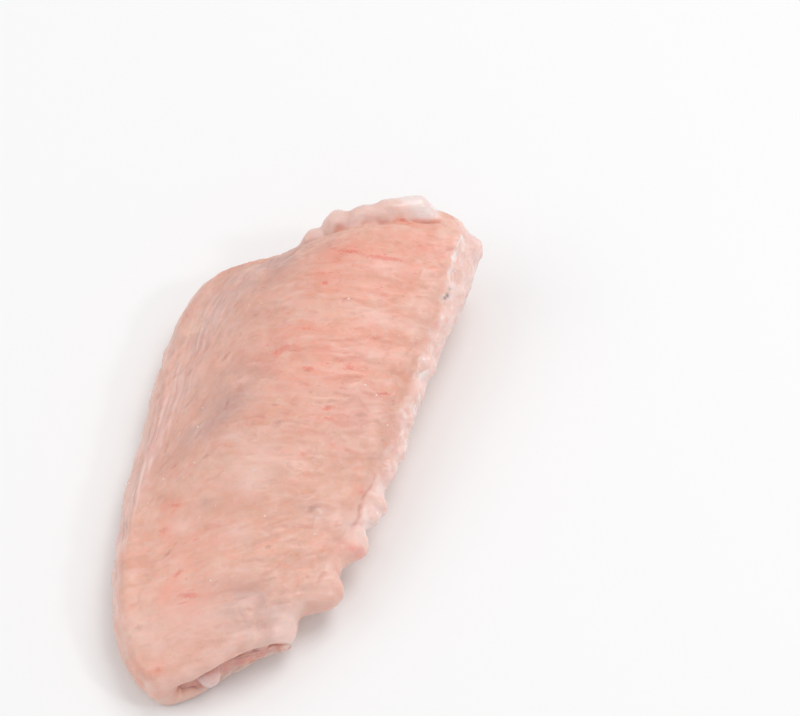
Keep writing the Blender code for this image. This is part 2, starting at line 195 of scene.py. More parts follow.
@dataclass(frozen=True)
class WingLoft:
    """The wing's form, as in the part: an outline in plan and heights along it. Sizes in mm.

    Shares of the width count from the leading edge, shares of the length from the wrist cut.
    """

    leading_edge: tuple = (
        (0.5, -46.3), (-4.1, -44.8), (-8.6, -41.2), (-13.6, -35.0), (-18.4, -25.8), (-22.3, -16.0),
        (-25.6, -5.5), (-28.8, 4.5), (-31.0, 13.5), (-30.4, 20.8), (-26.0, 25.6), (-20.6, 29.4),
        (-17.4, 34.6),
    )
    trailing_edge: tuple = (
        (13.9, -29.1), (13.9, -24.6), (15.3, -17.5), (15.6, -9.0), (15.3, -1.0), (14.6, 6.0),
        (13.3, 13.5), (12.0, 21.5), (11.1, 29.5), (10.1, 38.4), (7.9, 45.2), (3.2, 46.4),
    )
    plan_centre: tuple = (-6.42, 0.25)
    stations: tuple = (0.0, 0.12, 0.30, 0.50, 0.70, 0.85, 0.95, 1.0)
    crest_height: tuple = (9.6, 11.8, 14.6, 17.0, 19.2, 20.4, 20.2, 19.0)
    leading_height: tuple = (6.8, 7.8, 8.4, 8.4, 8.4, 9.6, 11.6, 12.2)
    trailing_height: tuple = (7.8, 9.2, 11.2, 13.2, 15.4, 17.0, 17.6, 17.4)
    leading_rim: tuple = (3.4, 3.6, 3.6, 3.6, 3.8, 4.6, 5.6, 6.0)
    trailing_rim: tuple = (4.4, 5.4, 7.0, 8.8, 10.6, 11.8, 12.0, 11.8)
    crest_place: float = 0.64
    round_leading: float = 0.075
    round_trailing: float = 0.11
    under_leading: float = 0.14
    under_trailing: float = 0.30
    elbow_bow: float = 1.7
    wrist_bow: float = 1.2
    wrist_lift: float = 1.4
    wrist_curl: tuple = (0.03, 1.1)
    elbow_curl: tuple = (0.05, 3.0)
    end_lift: float = 0.7
    end_lift_span: float = 0.05
    wrist_lean: float = 0.22
    elbow_lean: float = 0.10
    lean_level: float = 4.0
    lean_span: float = 0.16
    climb_power: float = 1.3
    edge_steps: int = 400
    section_steps: int = 481

    def edge(self, points: tuple, share: Points) -> Points:
        """Reads an edge of the outline.

        Args:
            points: The places that the edge runs through.
            share: Share of its length, from the wrist cut.

        Returns:
            X and Y in mm, before the outline is centred.
        """
        corners = np.asarray(points, float)
        chord = lengths(corners)
        path = hermite(chord, corners, np.linspace(0, chord[-1], self.edge_steps))
        length = lengths(path)
        wanted = np.asarray(share, float) * length[-1]
        return np.stack([np.interp(wanted, length, path[:, k]) for k in (0, 1)], axis=-1)

    def rim(self, across: Points, along: Points) -> Points:
        """Height of the line where the upper side meets the underside."""
        leading = hermite(self.stations, self.leading_rim, along)
        return leading + (hermite(self.stations, self.trailing_rim, along) - leading) * across

    def top(self, across: Points, along: Points) -> Points:
        """Height of the upper skin, before its folds.

        Args:
            across: Share of the width.
            along: Share of the length.

        Returns:
            Heights in mm.
        """
        rim = self.rim(across, along)
        crest = hermite(self.stations, self.crest_height, along)
        leading = hermite(self.stations, self.leading_height, along)
        trailing = hermite(self.stations, self.trailing_height, along)
        climb = np.sin(np.clip(across / self.crest_place, 0, 1) * math.pi / 2) ** self.climb_power
        fall = ease((1 - across) / (1 - self.crest_place))
        rising, falling = leading + (crest - leading) * climb, trailing + (crest - trailing) * fall
        plateau = np.where(across < self.crest_place, rising, falling)
        curl = self.wrist_curl[1] * (1 - rounding(along / self.wrist_curl[0]))
        curl += self.elbow_curl[1] * (1 - rounding((1 - along) / self.elbow_curl[0]))
        edge = rounding(across / self.round_leading) * rounding((1 - across) / self.round_trailing)
        return rim + (plateau - curl - rim) * edge

    def under(self, across: Points, along: Points) -> Points:
        """Height of the underside, flat where it lies on the board.

        Args:
            across: Share of the width.
            along: Share of the length.

        Returns:
            Heights in mm.
        """
        rim = self.rim(across, along)
        edge = rounding(across / self.under_leading) * rounding((1 - across) / self.under_trailing)
        ends = ease(along / self.end_lift_span) * ease((1 - along) / self.end_lift_span)
        lift = self.end_lift * (1 - ends)
        lift = lift + self.wrist_lift * ease((across - 0.3) / 0.4) * (1 - ease(along / 0.15))
        return rim * (1 - edge) + lift * edge

    def plan(self, across: Points, along: Points, height: Points | float = 4.0) -> Points:
        """Plan position of a share of the width and of the length.

        Args:
            across: Share of the width.
            along: Share of the length.
            height: Height above the board, which the cuts lean with.

        Returns:
            X and Y in mm.
        """
        across = np.asarray(across, float)
        along = np.asarray(along, float)
        leading = self.edge(self.leading_edge, along)
        chord = self.edge(self.trailing_edge, along) - leading
        lengthwise = unit(np.stack([-chord[..., 1], chord[..., 0]], axis=-1))
        # the factors 4 and 9.48 make each curve reach 1 where it bows most
        bow = self.elbow_bow * ease((along - 0.55) / 0.45) * 4 * across * (1 - across)
        bow = bow - self.wrist_bow * (1 - ease(along / 0.3)) * 9.48 * across * (1 - across) ** 3
        lean = self.elbow_lean * ease((along - 1 + self.lean_span) / self.lean_span)
        lean = lean - self.wrist_lean * across * ease(1 - along / self.lean_span)
        shift = (bow + lean * (height - self.lean_level))[..., None]
        return leading + chord * across[..., None] + lengthwise * shift - np.asarray(self.plan_centre)

    def spot(self, across: float, along: float) -> Points:
        """A point of the upper skin in mm."""
        a, v = np.array(across), np.array(along)
        return np.append(self.plan(a, v), self.top(a, v))

    @staticmethod
    def spaced(shares: Points, width: float, heights: Points, count: int) -> Points:
        """Shares of the width at which so many steps lie evenly along a line of heights."""
        length = np.concatenate([[0], np.cumsum(np.hypot(np.diff(shares * width), np.diff(heights)))])
        return np.interp(np.linspace(0, length[-1], count + 1), length, shares)

    def section(self, along: float, over: int, beneath: int) -> tuple[Points, Points, Points]:
        """One closed section, its points evenly spaced.

        Args:
            along: Share of the length.
            over: Steps on the upper side.
            beneath: Steps on the underside.

        Returns:
            Shares of the width, heights, and 1 on the upper side or 0 beneath.
        """
        fine = (1 - np.cos(np.linspace(0, math.pi, self.section_steps))) / 2
        ends = self.plan(np.array([0.0, 1.0]), np.full(2, along))
        width = np.linalg.norm(ends[1] - ends[0])
        upper = self.spaced(fine, width, self.top(fine, along), over)
        lower = self.spaced(fine, width, self.under(fine, along), beneath)[::-1][1:-1]
        across = np.concatenate([upper, lower])
        height = np.concatenate([self.top(upper, along), self.under(lower, along)])
        return across, height, np.concatenate([np.ones(len(upper)), np.zeros(len(lower))])


class FoldTurn(Enum):
    """The way the folds run in plan, from +X, in three zones of the skin."""

    MAIN = math.radians(25)
    LOW = math.radians(42)
    LEAD = math.radians(84)


class Graph:
    """A shader or geometry node tree while it is being built."""

    def __init__(self, tree: Tree) -> None:
        """Takes the tree to build in."""
        self.tree = tree

    def node(self, kind: str, inputs: dict | None = None, **settings: object) -> bpy.types.Node:
        """Adds a node.

        Args:
            kind: Blender's name for the kind of node.
            inputs: Name or number of an input to what feeds it.
            **settings: Properties to set before the inputs are fed.

        Returns:
            The node.
        """
        made = self.tree.nodes.new(kind)
        for name, value in settings.items():
            setattr(made, name, value)
        for key, value in (inputs or {}).items():
            self.feed(made.inputs[key], value)
        return made

    def feed(self, socket: Socket, value: Value) -> None:
        """Links a socket to an output, or sets its value.

        Args:
            socket: The input.
            value: An output of another node, or a plain value.
        """
        if isinstance(value, Socket):
            self.tree.links.new(value, socket)
        else:
            socket.default_value = value

    def shade(self, values: dict[str, Value]) -> None:
        """Feeds the standard shader of a material, by the names of its inputs."""
        for label, value in values.items():
            self.feed(self.tree.nodes["Principled BSDF"].inputs[label], value)

    def math(self, operation: str, *values: Value, clamp: bool = False) -> Socket:
        """A Math node's result; clamp keeps it between 0 and 1."""
        made = self.node("ShaderNodeMath", dict(enumerate(values)), operation=operation, use_clamp=clamp)
        return made.outputs[0]

    def add(self, a: Value, b: Value, clamp: bool = False) -> Socket:
        """The sum of two values."""
        return self.math("ADD", a, b, clamp=clamp)

    def less(self, a: Value, b: Value, clamp: bool = False) -> Socket:
        """A value less another one."""
        return self.math("SUBTRACT", a, b, clamp=clamp)

    def times(self, a: Value, b: Value, clamp: bool = False) -> Socket:
        """The product of two values."""
        return self.math("MULTIPLY", a, b, clamp=clamp)

    def over(self, a: Value, b: Value) -> Socket:
        """A value divided by another one."""
        return self.math("DIVIDE", a, b)

    def vector(self, operation: str, a: Value, b: Value) -> Socket:
        """A Vector Math node's vector result, of two vectors or of a vector and its scale."""
        second = "Scale" if operation == "SCALE" else 1
        return self.node("ShaderNodeVectorMath", {0: a, second: b}, operation=operation).outputs[0]

    def point(self, x: Value, y: Value, z: Value = 0.0) -> Socket:
        """A vector from its three parts."""
        return self.node("ShaderNodeCombineXYZ", {0: x, 1: y, 2: z}).outputs[0]

    def ramp(self, value: Value, low: Value, high: Value, *ends: float) -> Socket:
        """A smooth step of a value between two limits, from 0 to 1 or between two ends that are given."""
        inputs = dict(enumerate((value, low, high, *ends)))
        return self.node("ShaderNodeMapRange", inputs, interpolation_type="SMOOTHSTEP").outputs[0]

    def blend(self, factor: Value, a: Value, b: Value) -> Socket:
        """A mix of two colours."""
        return self.node("ShaderNodeMix", {0: factor, 6: a, 7: b}, data_type="RGBA").outputs[2]

    def noise(self, position: Socket, scale: Value, *looks: float) -> Socket:
        """A noise value from 0 to 1, with its detail, roughness and distortion where they are given."""
        inputs = {"Vector": position, "Scale": scale, **dict(zip(NOISE_LOOKS, looks))}
        return self.node("ShaderNodeTexNoise", inputs, noise_dimensions="3D").outputs[0]

    def cells(self, position: Socket, scale: Value, feature: str = "F1", randomness: float = 1.0) -> Socket:
        """The distances in a loose pattern of cells, so many for each unit of length."""
        inputs = {"Vector": position, "Scale": scale, "Randomness": randomness}
        return self.node("ShaderNodeTexVoronoi", inputs, feature=feature).outputs["Distance"]

    def zone(self, name: str) -> Socket:
        """In a shader, a zone's strength from the mesh."""
        return self.node("ShaderNodeAttribute", attribute_name=name).outputs["Fac"]

    def read(self, name: str) -> Socket:
        """In a geometry tree, a value that the mesh carries."""
        made = self.node("GeometryNodeInputNamedAttribute", {"Name": name}, data_type="FLOAT")
        return made.outputs["Attribute"]

    def keep(self, geometry: Socket, name: str, value: Value) -> Socket:
        """In a geometry tree, puts a value on the points for the finish to read."""
        inputs = {"Geometry": geometry, "Name": name, "Value": value}
        return self.node("GeometryNodeStoreNamedAttribute", inputs, data_type="FLOAT").outputs[0]

    def position(self) -> Socket:
        """In a geometry tree, where each point lies, in metres."""
        return self.node("GeometryNodeInputPosition").outputs[0]

    def move(self, geometry: Socket, height: Value) -> Socket:
        """In a geometry tree, moves the points along their normals by a height in metres."""
        offset = self.vector("SCALE", self.node("GeometryNodeInputNormal").outputs[0], height)
        return self.node("GeometryNodeSetPosition", {"Geometry": geometry, "Offset": offset}).outputs[0]

    def finish(self, geometry: Socket, material: Socket, target: Socket) -> None:
        """Ends a geometry tree: real geometry, smooth, with its material.

        Args:
            geometry: What the tree has made.
            material: The finish.
            target: The tree's output.
        """
        for kind in ("GeometryNodeRealizeInstances", "GeometryNodeSetShadeSmooth"):
            geometry = self.node(kind, {0: geometry}).outputs[0]
        dressed = self.node("GeometryNodeSetMaterial", {"Geometry": geometry, "Material": material})
        self.feed(target, dressed.outputs[0])

    def fold_weights(self, lead: Socket, low: Socket) -> list[tuple[FoldTurn, Socket]]:
        """Pairs each way of the folds with its share of a place."""
        main = self.less(1.0, self.add(lead, low), clamp=True)
        return [(FoldTurn.MAIN, main), (FoldTurn.LOW, low), (FoldTurn.LEAD, lead)]

    def directed_noise(
        self, where: Socket, weights: list[tuple[FoldTurn, Socket]], length: Value, width: Value,
        distortion: float,
    ) -> Socket:
        """Noise stretched along a direction that changes from zone to zone.

        Args:
            where: Position in mm.
            weights: Directions and their shares.
            length: Size of a cell along the direction.
            width: Size of a cell across it.
            distortion: How much the cells bend.

        Returns:
            A value from 0 to 1.
        """
        total = None
        for way, weight in weights:
            inputs = {"Vector": where, "Angle": -way.value}
            turned = self.node("ShaderNodeVectorRotate", inputs, rotation_type="Z_AXIS").outputs[0]
            cells = self.vector("DIVIDE", turned, self.point(length, width, width))
            share = self.times(self.noise(cells, 1.0, 1.8, 0.5, distortion), weight)
            total = share if total is None else self.add(total, share)
        return total


def new_group(kind: str, name: str, inputs: dict, outputs: dict[str, str]) -> tuple[Graph, dict, dict]:
    """Starts a node group with named sockets.

    Args:
        kind: SHADER_TREE or MESH_TREE.
        name: The group's name.
        inputs: Socket name to its default, or to its type where it has no default.
        outputs: Socket name to its type.

    Returns:
        The graph, its input sockets by name, and its output sockets by name.
    """
    tree = bpy.data.node_groups.new(name, kind)
    for label, given in inputs.items():
        socket_type = SOCKETS.get(type(given), given)
        made = tree.interface.new_socket(name=label, in_out="INPUT", socket_type=socket_type)
        if type(given) in SOCKETS:
            made.default_value = given
    for label, socket_type in outputs.items():
        tree.interface.new_socket(name=label, in_out="OUTPUT", socket_type=socket_type)
    graph = Graph(tree)
    start = graph.node("NodeGroupInput")
    end = graph.node("NodeGroupOutput")
    sources = {socket.name: socket for socket in start.outputs if socket.name}
    targets = {socket.name: socket for socket in end.inputs if socket.name}
    return graph, sources, targets


def sizes(owner: object) -> dict[str, float]:
    """The numbers that an object holds, by the names of the inputs in its geometry tree."""
    numbers = {name: value for name, value in vars(owner).items() if isinstance(value, (int, float))}
    return {name.replace("_", " ").capitalize(): value for name, value in numbers.items()}


def mesh_group(name: str, owner: object) -> tuple[Graph, dict, dict]:
    """Starts a geometry tree for a mesh and its finish, with an input for each of its owner's sizes."""
    inputs = {"Geometry": GEOMETRY, **sizes(owner), "Finish": MATERIAL}
    return new_group(MESH_TREE, name, inputs, {"Geometry": GEOMETRY})


@dataclass
class Effects:
    """Shader node groups that several finishes share."""

    mottle: Tree = field(init=False)
    wet_film: Tree = field(init=False)
    flow_streaks: Tree = field(init=False)

    def __post_init__(self) -> None:
        """Builds the groups once."""
        self.mottle = self._build_mottle()
        self.wet_film = self._build_wet_film()
        self.flow_streaks = self._build_flow_streaks()

    def _build_flow_streaks(self) -> Tree:
        """Streaks that run the way the skin folds in each zone.

        Returns:
            The group, which gives a value from 0 to 1.
        """
        inputs = {"Position": VECTOR, "Lead": 0.0, "Low": 0.0, "Length": 5.0, "Width": 1.0}
        graph, given, wanted = new_group(SHADER_TREE, "flow_streaks", inputs, {"Value": FLOAT})
        weights = graph.fold_weights(given["Lead"], given["Low"])
        value = graph.directed_noise(given["Position"], weights, given["Length"], given["Width"], 0.5)
        graph.feed(wanted["Value"], value)
        return graph.tree

    def _build_mottle(self) -> Tree:
        """Soft blotches between two colours, in two sizes.

        Returns:
            The group, which gives the colour.
        """
        inputs = {
            "Position": VECTOR, "Light": (1.0, 1.0, 1.0, 1.0), "Dark": (0.0, 0.0, 0.0, 1.0),
            "Blotch Size": 6.0, "Fleck Size": 1.2, "Fleck Share": 0.35,
        }
        graph, given, wanted = new_group(SHADER_TREE, "mottle", inputs, {"Color": COLOUR})
        where = given["Position"]
        blotch = graph.noise(where, graph.over(1.0, given["Blotch Size"]), 3.0, 0.55, 0.4)
        fleck = graph.noise(where, graph.over(1.0, given["Fleck Size"]), 2.0, 0.6)
        mixed = graph.add(blotch, graph.times(graph.less(fleck, blotch), given["Fleck Share"]))
        amount = graph.ramp(mixed, 0.34, 0.66)
        graph.feed(wanted["Color"], graph.blend(amount, given["Light"], given["Dark"]))
        return graph.tree

    def _build_wet_film(self) -> Tree:
        """A moist film: uneven gloss, a clear coat in patches, and a fine bump.

        Returns:
            The group, which gives the roughness, the coat's weight and the bump's height.
        """
        inputs = {
            "Position": VECTOR, "Dry Roughness": 0.5, "Wet Roughness": 0.3, "Coat": 0.4, "Grain Size": 0.4,
        }
        outputs = {"Roughness": FLOAT, "Coat": FLOAT, "Height": FLOAT}
        graph, given, wanted = new_group(SHADER_TREE, "wet_film", inputs, outputs)
        where, dry = given["Position"], given["Dry Roughness"]
        patch = graph.ramp(graph.noise(where, 0.22, 3.0, 0.6), 0.38, 0.62)
        drop = graph.times(graph.less(given["Wet Roughness"], dry), patch)
        graph.feed(wanted["Roughness"], graph.add(dry, drop))
        share = graph.add(0.35, graph.times(patch, 0.65))
        graph.feed(wanted["Coat"], graph.times(given["Coat"], share, clamp=True))
        graph.feed(wanted["Height"], graph.noise(where, graph.over(1.0, given["Grain Size"]), 3.0, 0.6))
        return graph.tree


@dataclass
class Paint:
    """The colour of a finish while layers are laid over it."""

    graph: Graph
    effects: Effects
    position: Socket
    colour: Value

    def over(self, amount: Value, tone: Value) -> None:
        """Lays a tone over the colour."""
        self.colour = self.graph.blend(amount, self.colour, tone)

    def flow(self, length: float, width: float, shift: float) -> Socket:
        """Streaks along the folds.

        Args:
            length: Size of a streak along the folds in mm.
            width: Its size across them in mm.
            shift: Moves the pattern, so that two layers differ.

        Returns:
            A value from 0 to 1.
        """
        inputs = {
            "Position": self.graph.vector("ADD", self.position, (shift, shift, shift)),
            "Lead": self.graph.zone("turn_lead"), "Low": self.graph.zone("turn_low"),
            "Length": length, "Width": width,
        }
        made = self.graph.node("ShaderNodeGroup", inputs, node_tree=self.effects.flow_streaks)
        return made.outputs["Value"]


def new_material(name: str) -> tuple[Finish, Graph]:
    """Starts a material.

    Args:
        name: The material's name.

    Returns:
        The material, and its tree with the standard shader.
    """
    material = bpy.data.materials.new(name)
    material.use_nodes = True
    return material, Graph(material.node_tree)


@dataclass(frozen=True)
class WetFinish:
    """What every moist tissue here has in common. Lengths in mm."""

    name: str
    light: Colour
    dark: Colour
    blotch: float = 5.0
    fleck: float = 1.1
    fleck_share: float = 0.35
    dry: float = 0.5
    wet: float = 0.3
    coat: float = 0.35
    coat_roughness: float = 0.12
    grain: float = 0.4
    grain_depth: float = 0.02
    subsurface: float = 0.35
    depth: float = 2.0
    spread: tuple = (1.0, 0.36, 0.22)
    coat_ior: float = 1.38
    ior: float = 1.42

    def build(self, effects: Effects) -> Finish:
        """Makes the material.

        Args:
            effects: The shared node groups.

        Returns:
            The material, ready to put on a piece.
        """
        material, graph = new_material(self.name)
        coordinates = graph.node("ShaderNodeTexCoord")
        position = graph.vector("SCALE", coordinates.outputs["Object"], PER_MM)
        inputs = {
            "Position": position, "Light": self.light, "Dark": self.dark, "Blotch Size": self.blotch,
            "Fleck Size": self.fleck, "Fleck Share": self.fleck_share,
        }
        mottle = graph.node("ShaderNodeGroup", inputs, node_tree=effects.mottle)
        inputs = {
            "Position": position, "Dry Roughness": self.dry, "Wet Roughness": self.wet,
            "Coat": self.coat, "Grain Size": self.grain,
        }
        film = graph.node("ShaderNodeGroup", inputs, node_tree=effects.wet_film).outputs
        paint = Paint(graph, effects, position, mottle.outputs["Color"])
        self.lay(paint)
        height = self.height(paint, film["Height"])
        inputs = {"Strength": 1.0, "Distance": self.grain_depth * MM, "Height": height}
        graph.shade({
            "Base Color": paint.colour,
            "Normal": graph.node("ShaderNodeBump", inputs).outputs["Normal"],
            "Roughness": self.roughness(graph, film["Roughness"]),
            "Coat Weight": self.coat_weight(graph, film["Coat"]),
            "Coat Roughness": self.coat_roughness, "Coat IOR": self.coat_ior, "IOR": self.ior,
            "Subsurface Weight": self.subsurface, "Subsurface Radius": self.spread,
            "Subsurface Scale": self.depth * MM,
        })
        return material

    def lay(self, paint: Paint) -> None:
        """Lays colours over the mottling; a plain finish has none."""

    def roughness(self, graph: Graph, base: Socket) -> Socket:
        """The roughness over the surface."""
        return base

    def coat_weight(self, graph: Graph, base: Socket) -> Socket:
        """The clear coat over the surface."""
        return base

    def height(self, paint: Paint, base: Socket) -> Socket:
        """The fine relief over the surface."""
        return base


@dataclass(frozen=True)
class Streaks:
    """A layer of streaks along the folds: their size in mm, and where their tone sets in."""

    length: float
    width: float
    shift: float
    tone: Colour
    amount: float
    low: float = 0.53
    high: float = 0.62


@dataclass(frozen=True)
class SkinFinish(WetFinish):
    """Raw skin: peach over pink, with the zones that the skin's mesh carries as attributes."""

    blush: Colour = srgb(244, 158, 138)
    salmon: Colour = srgb(242, 170, 148)
    rose: Colour = srgb(240, 198, 188)
    beige: Colour = srgb(216, 170, 148)
    vein: Colour = srgb(224, 112, 96)
    grey: Colour = srgb(192, 156, 150)
    dash: Colour = srgb(176, 128, 112)
    # Darker red-brown strokes laid at the marks, along short dented lines.
    bruise: Colour = srgb(178, 112, 98)
    pale: Colour = srgb(244, 212, 203)
    lavender: Colour = srgb(228, 200, 200)
    band: Colour = srgb(248, 214, 207)
    # Near-white painted wet highlights along the crest of the follicle band.
    crest: Colour = srgb(255, 242, 239)
    fat: Colour = srgb(233, 200, 191)
    knob: Colour = srgb(242, 224, 220)
    pit: Colour = srgb(128, 112, 110)
    # Red-brown tone for painted shade in creases, fold hollows and grooves; in the grooves it is also the
    # skin's own red crease lines.
    furrow: Colour = srgb(206, 128, 112)
    lining: Colour = srgb(230, 182, 168)
    # The raw cut wall inside the lips, darkened as painted shade for the slit under the upper lip.
    raw: Colour = srgb(156, 102, 95)
    patches: tuple = (
        Streaks(5.0, 2.1, 0.0, rose, 0.34), Streaks(6.5, 2.4, 55.0, salmon, 0.34),
        Streaks(4.5, 1.9, 110.0, beige, 0.28), Streaks(2.6, 1.3, 165.0, rose, 0.14),
        Streaks(2.8, 1.2, 220.0, beige, 0.12), Streaks(3.0, 1.3, 275.0, salmon, 0.12),
    )
    hairlines: tuple = (
        Streaks(3.0, 0.9, 40.0, pale, 0.14, 0.58, 0.68), Streaks(3.0, 0.9, 40.0, grey, 0.08, 0.42, 0.32),
    )
    clouding: float = 0.26
    drawn: tuple = (("vessel", vein, 0.74), ("mark", bruise, 0.50))
    # How strongly the finish paints shade into creases and fold hollows and light onto fold crests.
    creased: float = 0.16
    folded: float = 0.12
    crested: float = 0.18
    gloss_coat: float = 0.6
    gloss_smoothing: float = 0.14

    def lay(self, paint: Paint) -> None:
        """Lays patches, strokes, painted shade and light along the creases and folds, and fat over the
        mottled skin.

        Args:
            paint: The colour so far.
        """
        graph = paint.graph
        patches = graph.noise(paint.position, 0.28, 3.0, 0.6, 0.6)
        fleck = graph.noise(paint.position, 2.6, 2.0, 0.7)
        self.streaks(paint, self.patches)
        cloud = graph.noise(paint.position, 0.40, 2.0, 0.5, 0.5)
        paint.over(graph.ramp(cloud, 0.54, 0.66, 0.0, self.clouding), self.rose)
        paint.over(graph.ramp(cloud, 0.46, 0.34, 0.0, self.clouding), self.beige)
        self.streaks(paint, self.hairlines)
        self.spots(paint, patches, fleck)
        self.strokes(paint, fleck)
        self.folds(paint)
        self.edges(paint)
        fat_tone = graph.blend(graph.ramp(patches, 0.35, 0.6, 0.0, 0.45), self.fat, self.pale)
        # The grooves take the red-brown crease tone: painted shade, and the skin's own red crease lines.
        layers = (("fat", fat_tone), ("knob", self.knob), ("groove", self.furrow), ("dark_pit", self.pit))
        for name, tone in layers:
            paint.over(graph.zone(name), tone)
        cut = graph.zone("cut")
        paint.over(graph.ramp(cut, 0.0, 0.6), self.lining)
        # The raw cut wall, darkened as painted shade in the slit under the upper lip.
        paint.over(graph.ramp(cut, 0.7, 1.0), self.raw)

    @staticmethod
    def streaks(paint: Paint, layers: tuple[Streaks, ...]) -> None:
        """Lays streaks along the folds.

        Args:
            paint: The colour so far.
            layers: The streaks, from the lowest layer up.
        """
        for layer in layers:
            lines = paint.flow(layer.length, layer.width, layer.shift)
            paint.over(paint.graph.ramp(lines, layer.low, layer.high, 0.0, layer.amount), layer.tone)

    def spots(self, paint: Paint, patches: Socket, fleck: Socket) -> None:
        """Blush and grey spots.

        Args:
            paint: The colour so far.
            patches: Coarse noise that makes them uneven.
            fleck: Fine noise that does.
        """
        graph = paint.graph
        uneven = graph.ramp(graph.add(patches, graph.times(fleck, 0.5)), 0.5, 0.95)
        blush = graph.times(graph.zone("blush"), 0.5)
        paint.over(graph.times(blush, graph.add(0.2, uneven)), self.blush)
        thinned = graph.ramp(patches, 0.25, 0.6, 0.2, 0.85)
        paint.over(graph.times(graph.zone("grey"), thinned, clamp=True), self.grey)

    def strokes(self, paint: Paint, fleck: Socket) -> None:
        """Red strokes in the blush, the drawn vessels and marks, and short dark dashes.

        Args:
            paint: The colour so far.
            fleck: Fine noise that breaks the strokes up.
        """
        graph = paint.graph
        plain = graph.less(1.0, graph.zone("lump"), clamp=True)
        red = graph.ramp(paint.flow(4.2, 0.42, 80.0), 0.66, 0.74)
        red = graph.times(red, graph.ramp(fleck, 0.3, 0.6, 0.3, 1.0))
        reddened = graph.times(graph.add(0.06, graph.times(graph.zone("blush"), 0.7)), plain)
        paint.over(graph.times(red, reddened, clamp=True), self.vein)
        ragged = graph.times(graph.less(fleck, 0.5), 1.2)
        for name, tone, amount in self.drawn:
            stroke = graph.ramp(graph.add(graph.zone(name), ragged), 0.10, 1.05, 0.0, amount)
            paint.over(graph.times(stroke, graph.ramp(graph.zone(name), 0.0, 0.35)), tone)
        dark = graph.ramp(paint.flow(1.9, 0.38, 120.0), 0.31, 0.23)
        dark = graph.times(dark, graph.ramp(fleck, 0.35, 0.55, 0.3, 1.0))
        leading = graph.add(0.10, graph.times(graph.zone("turn_lead"), 0.30))
        dashed = graph.add(leading, graph.times(graph.zone("grey"), 0.4))
        paint.over(graph.times(dark, graph.times(dashed, plain), clamp=True), self.dash)

    def folds(self, paint: Paint) -> None:
        """Painted shade in the creases and fold hollows, painted light on the fold crests, and the pale
        spots.

        Args:
            paint: The colour so far.
        """
        graph = paint.graph
        # Painted shade in the fine creases and the fold hollows, painted light on the fold crests.
        paint.over(graph.times(graph.zone("crease"), self.creased), self.furrow)
        fold = graph.zone("fold")
        paint.over(graph.ramp(fold, 0.0, -0.6, 0.0, self.folded), self.furrow)
        paint.over(graph.ramp(fold, 0.0, 0.6, 0.0, self.crested), self.pale)
        paint.over(graph.zone("pale"), self.pale)

    @staticmethod
    def edge_lines(graph: Graph, inset: str, length: float, width: float, distortion: float) -> Socket:
        """Lines, so many mm long and wide, that follow the edge whose distance an attribute holds."""
        run, depth = graph.over(graph.zone("run"), length), graph.over(graph.zone(inset), width)
        return graph.noise(graph.point(run, depth), 1.0, 2.0, 0.5, distortion)

    def edges(self, paint: Paint) -> None:
        """Fine streaks along the leading edge, and the pale band of follicles with painted wet highlights
        along its crest.

        Args:
            paint: The colour so far.
        """
        graph = paint.graph
        lines = self.edge_lines(graph, "inset", 7.0, 0.55, 0.3)
        streak = graph.zone("streak")
        paint.over(graph.times(streak, 0.34), self.lavender)
        paint.over(graph.times(graph.ramp(lines, 0.52, 0.66, 0.0, 0.65), streak), self.pale)
        paint.over(graph.times(graph.ramp(lines, 0.48, 0.34, 0.0, 0.55), streak), self.grey)
        uneven = graph.ramp(graph.noise(paint.position, 0.7, 2.0, 0.6), 0.35, 0.6, 0.55, 0.95)
        paint.over(graph.times(graph.zone("band"), uneven), self.band)
        # Near-white streaks along the band's crest: painted wet highlights.
        bright = graph.ramp(self.edge_lines(graph, "trail", 2.2, 0.8, 0.5), 0.45, 0.62)
        paint.over(graph.times(graph.zone("crest"), bright), self.crest)

    def coat_weight(self, graph: Graph, base: Socket) -> Socket:
        """Wetter along the follicles and on the fat."""
        return graph.add(base, graph.times(graph.zone("gloss"), self.gloss_coat), clamp=True)

    def roughness(self, graph: Graph, base: Socket) -> Socket:
        """Smoother where it is wetter."""
        return graph.less(base, graph.times(graph.zone("gloss"), self.gloss_smoothing), clamp=True)

    def height(self, paint: Paint, base: Socket) -> Socket:
        """Adds hair-fine folds that run with the larger ones.

        Args:
            paint: The finish being made.
            base: The grain's relief.

        Returns:
            The whole fine relief.
        """
        graph = paint.graph
        fine = graph.times(paint.flow(1.6, 0.5, 15.0), 0.35)
        folds = graph.times(paint.flow(4.5, 1.1, 25.0), 2.1)
        return graph.add(graph.add(graph.times(base, 0.6), fine), folds)


@dataclass(frozen=True)
class FleshFinish(WetFinish):
    """Cut meat: pink fibres between pale sheets of tissue."""

    sheet: Colour = srgb(236, 204, 196)
    fascia: Colour = srgb(244, 204, 190)
    blood: Colour = srgb(206, 122, 108)
    shaded: Colour = srgb(138, 90, 84)

    def lay(self, paint: Paint) -> None:
        """Pale lines where the bundles of fibres meet, and the tissue that covers them.

        Args:
            paint: The colour so far.
        """
        graph = paint.graph
        patches = graph.noise(paint.position, 0.5, 2.0, 0.6, 0.5)
        tissue = graph.blend(graph.ramp(patches, 0.52, 0.66, 0.0, 0.6), self.fascia, self.sheet)
        paint.over(graph.times(graph.zone("sheath"), graph.ramp(patches, 0.3, 0.5, 0.5, 1.0)), tissue)
        paint.over(graph.zone("seam"), self.sheet)
        paint.over(graph.times(graph.zone("stain"), 0.8), self.blood)
        paint.over(graph.times(graph.zone("shade"), 0.9), self.shaded)


@dataclass(frozen=True)
class CartilageFinish(WetFinish):
    """Cartilage, with a pink veil of tissue where it is still covered."""

    veil: Colour = srgb(222, 160, 148)

    def lay(self, paint: Paint) -> None:
        """Lays the veil over the white."""
        paint.over(paint.graph.zone("veil"), self.veil)


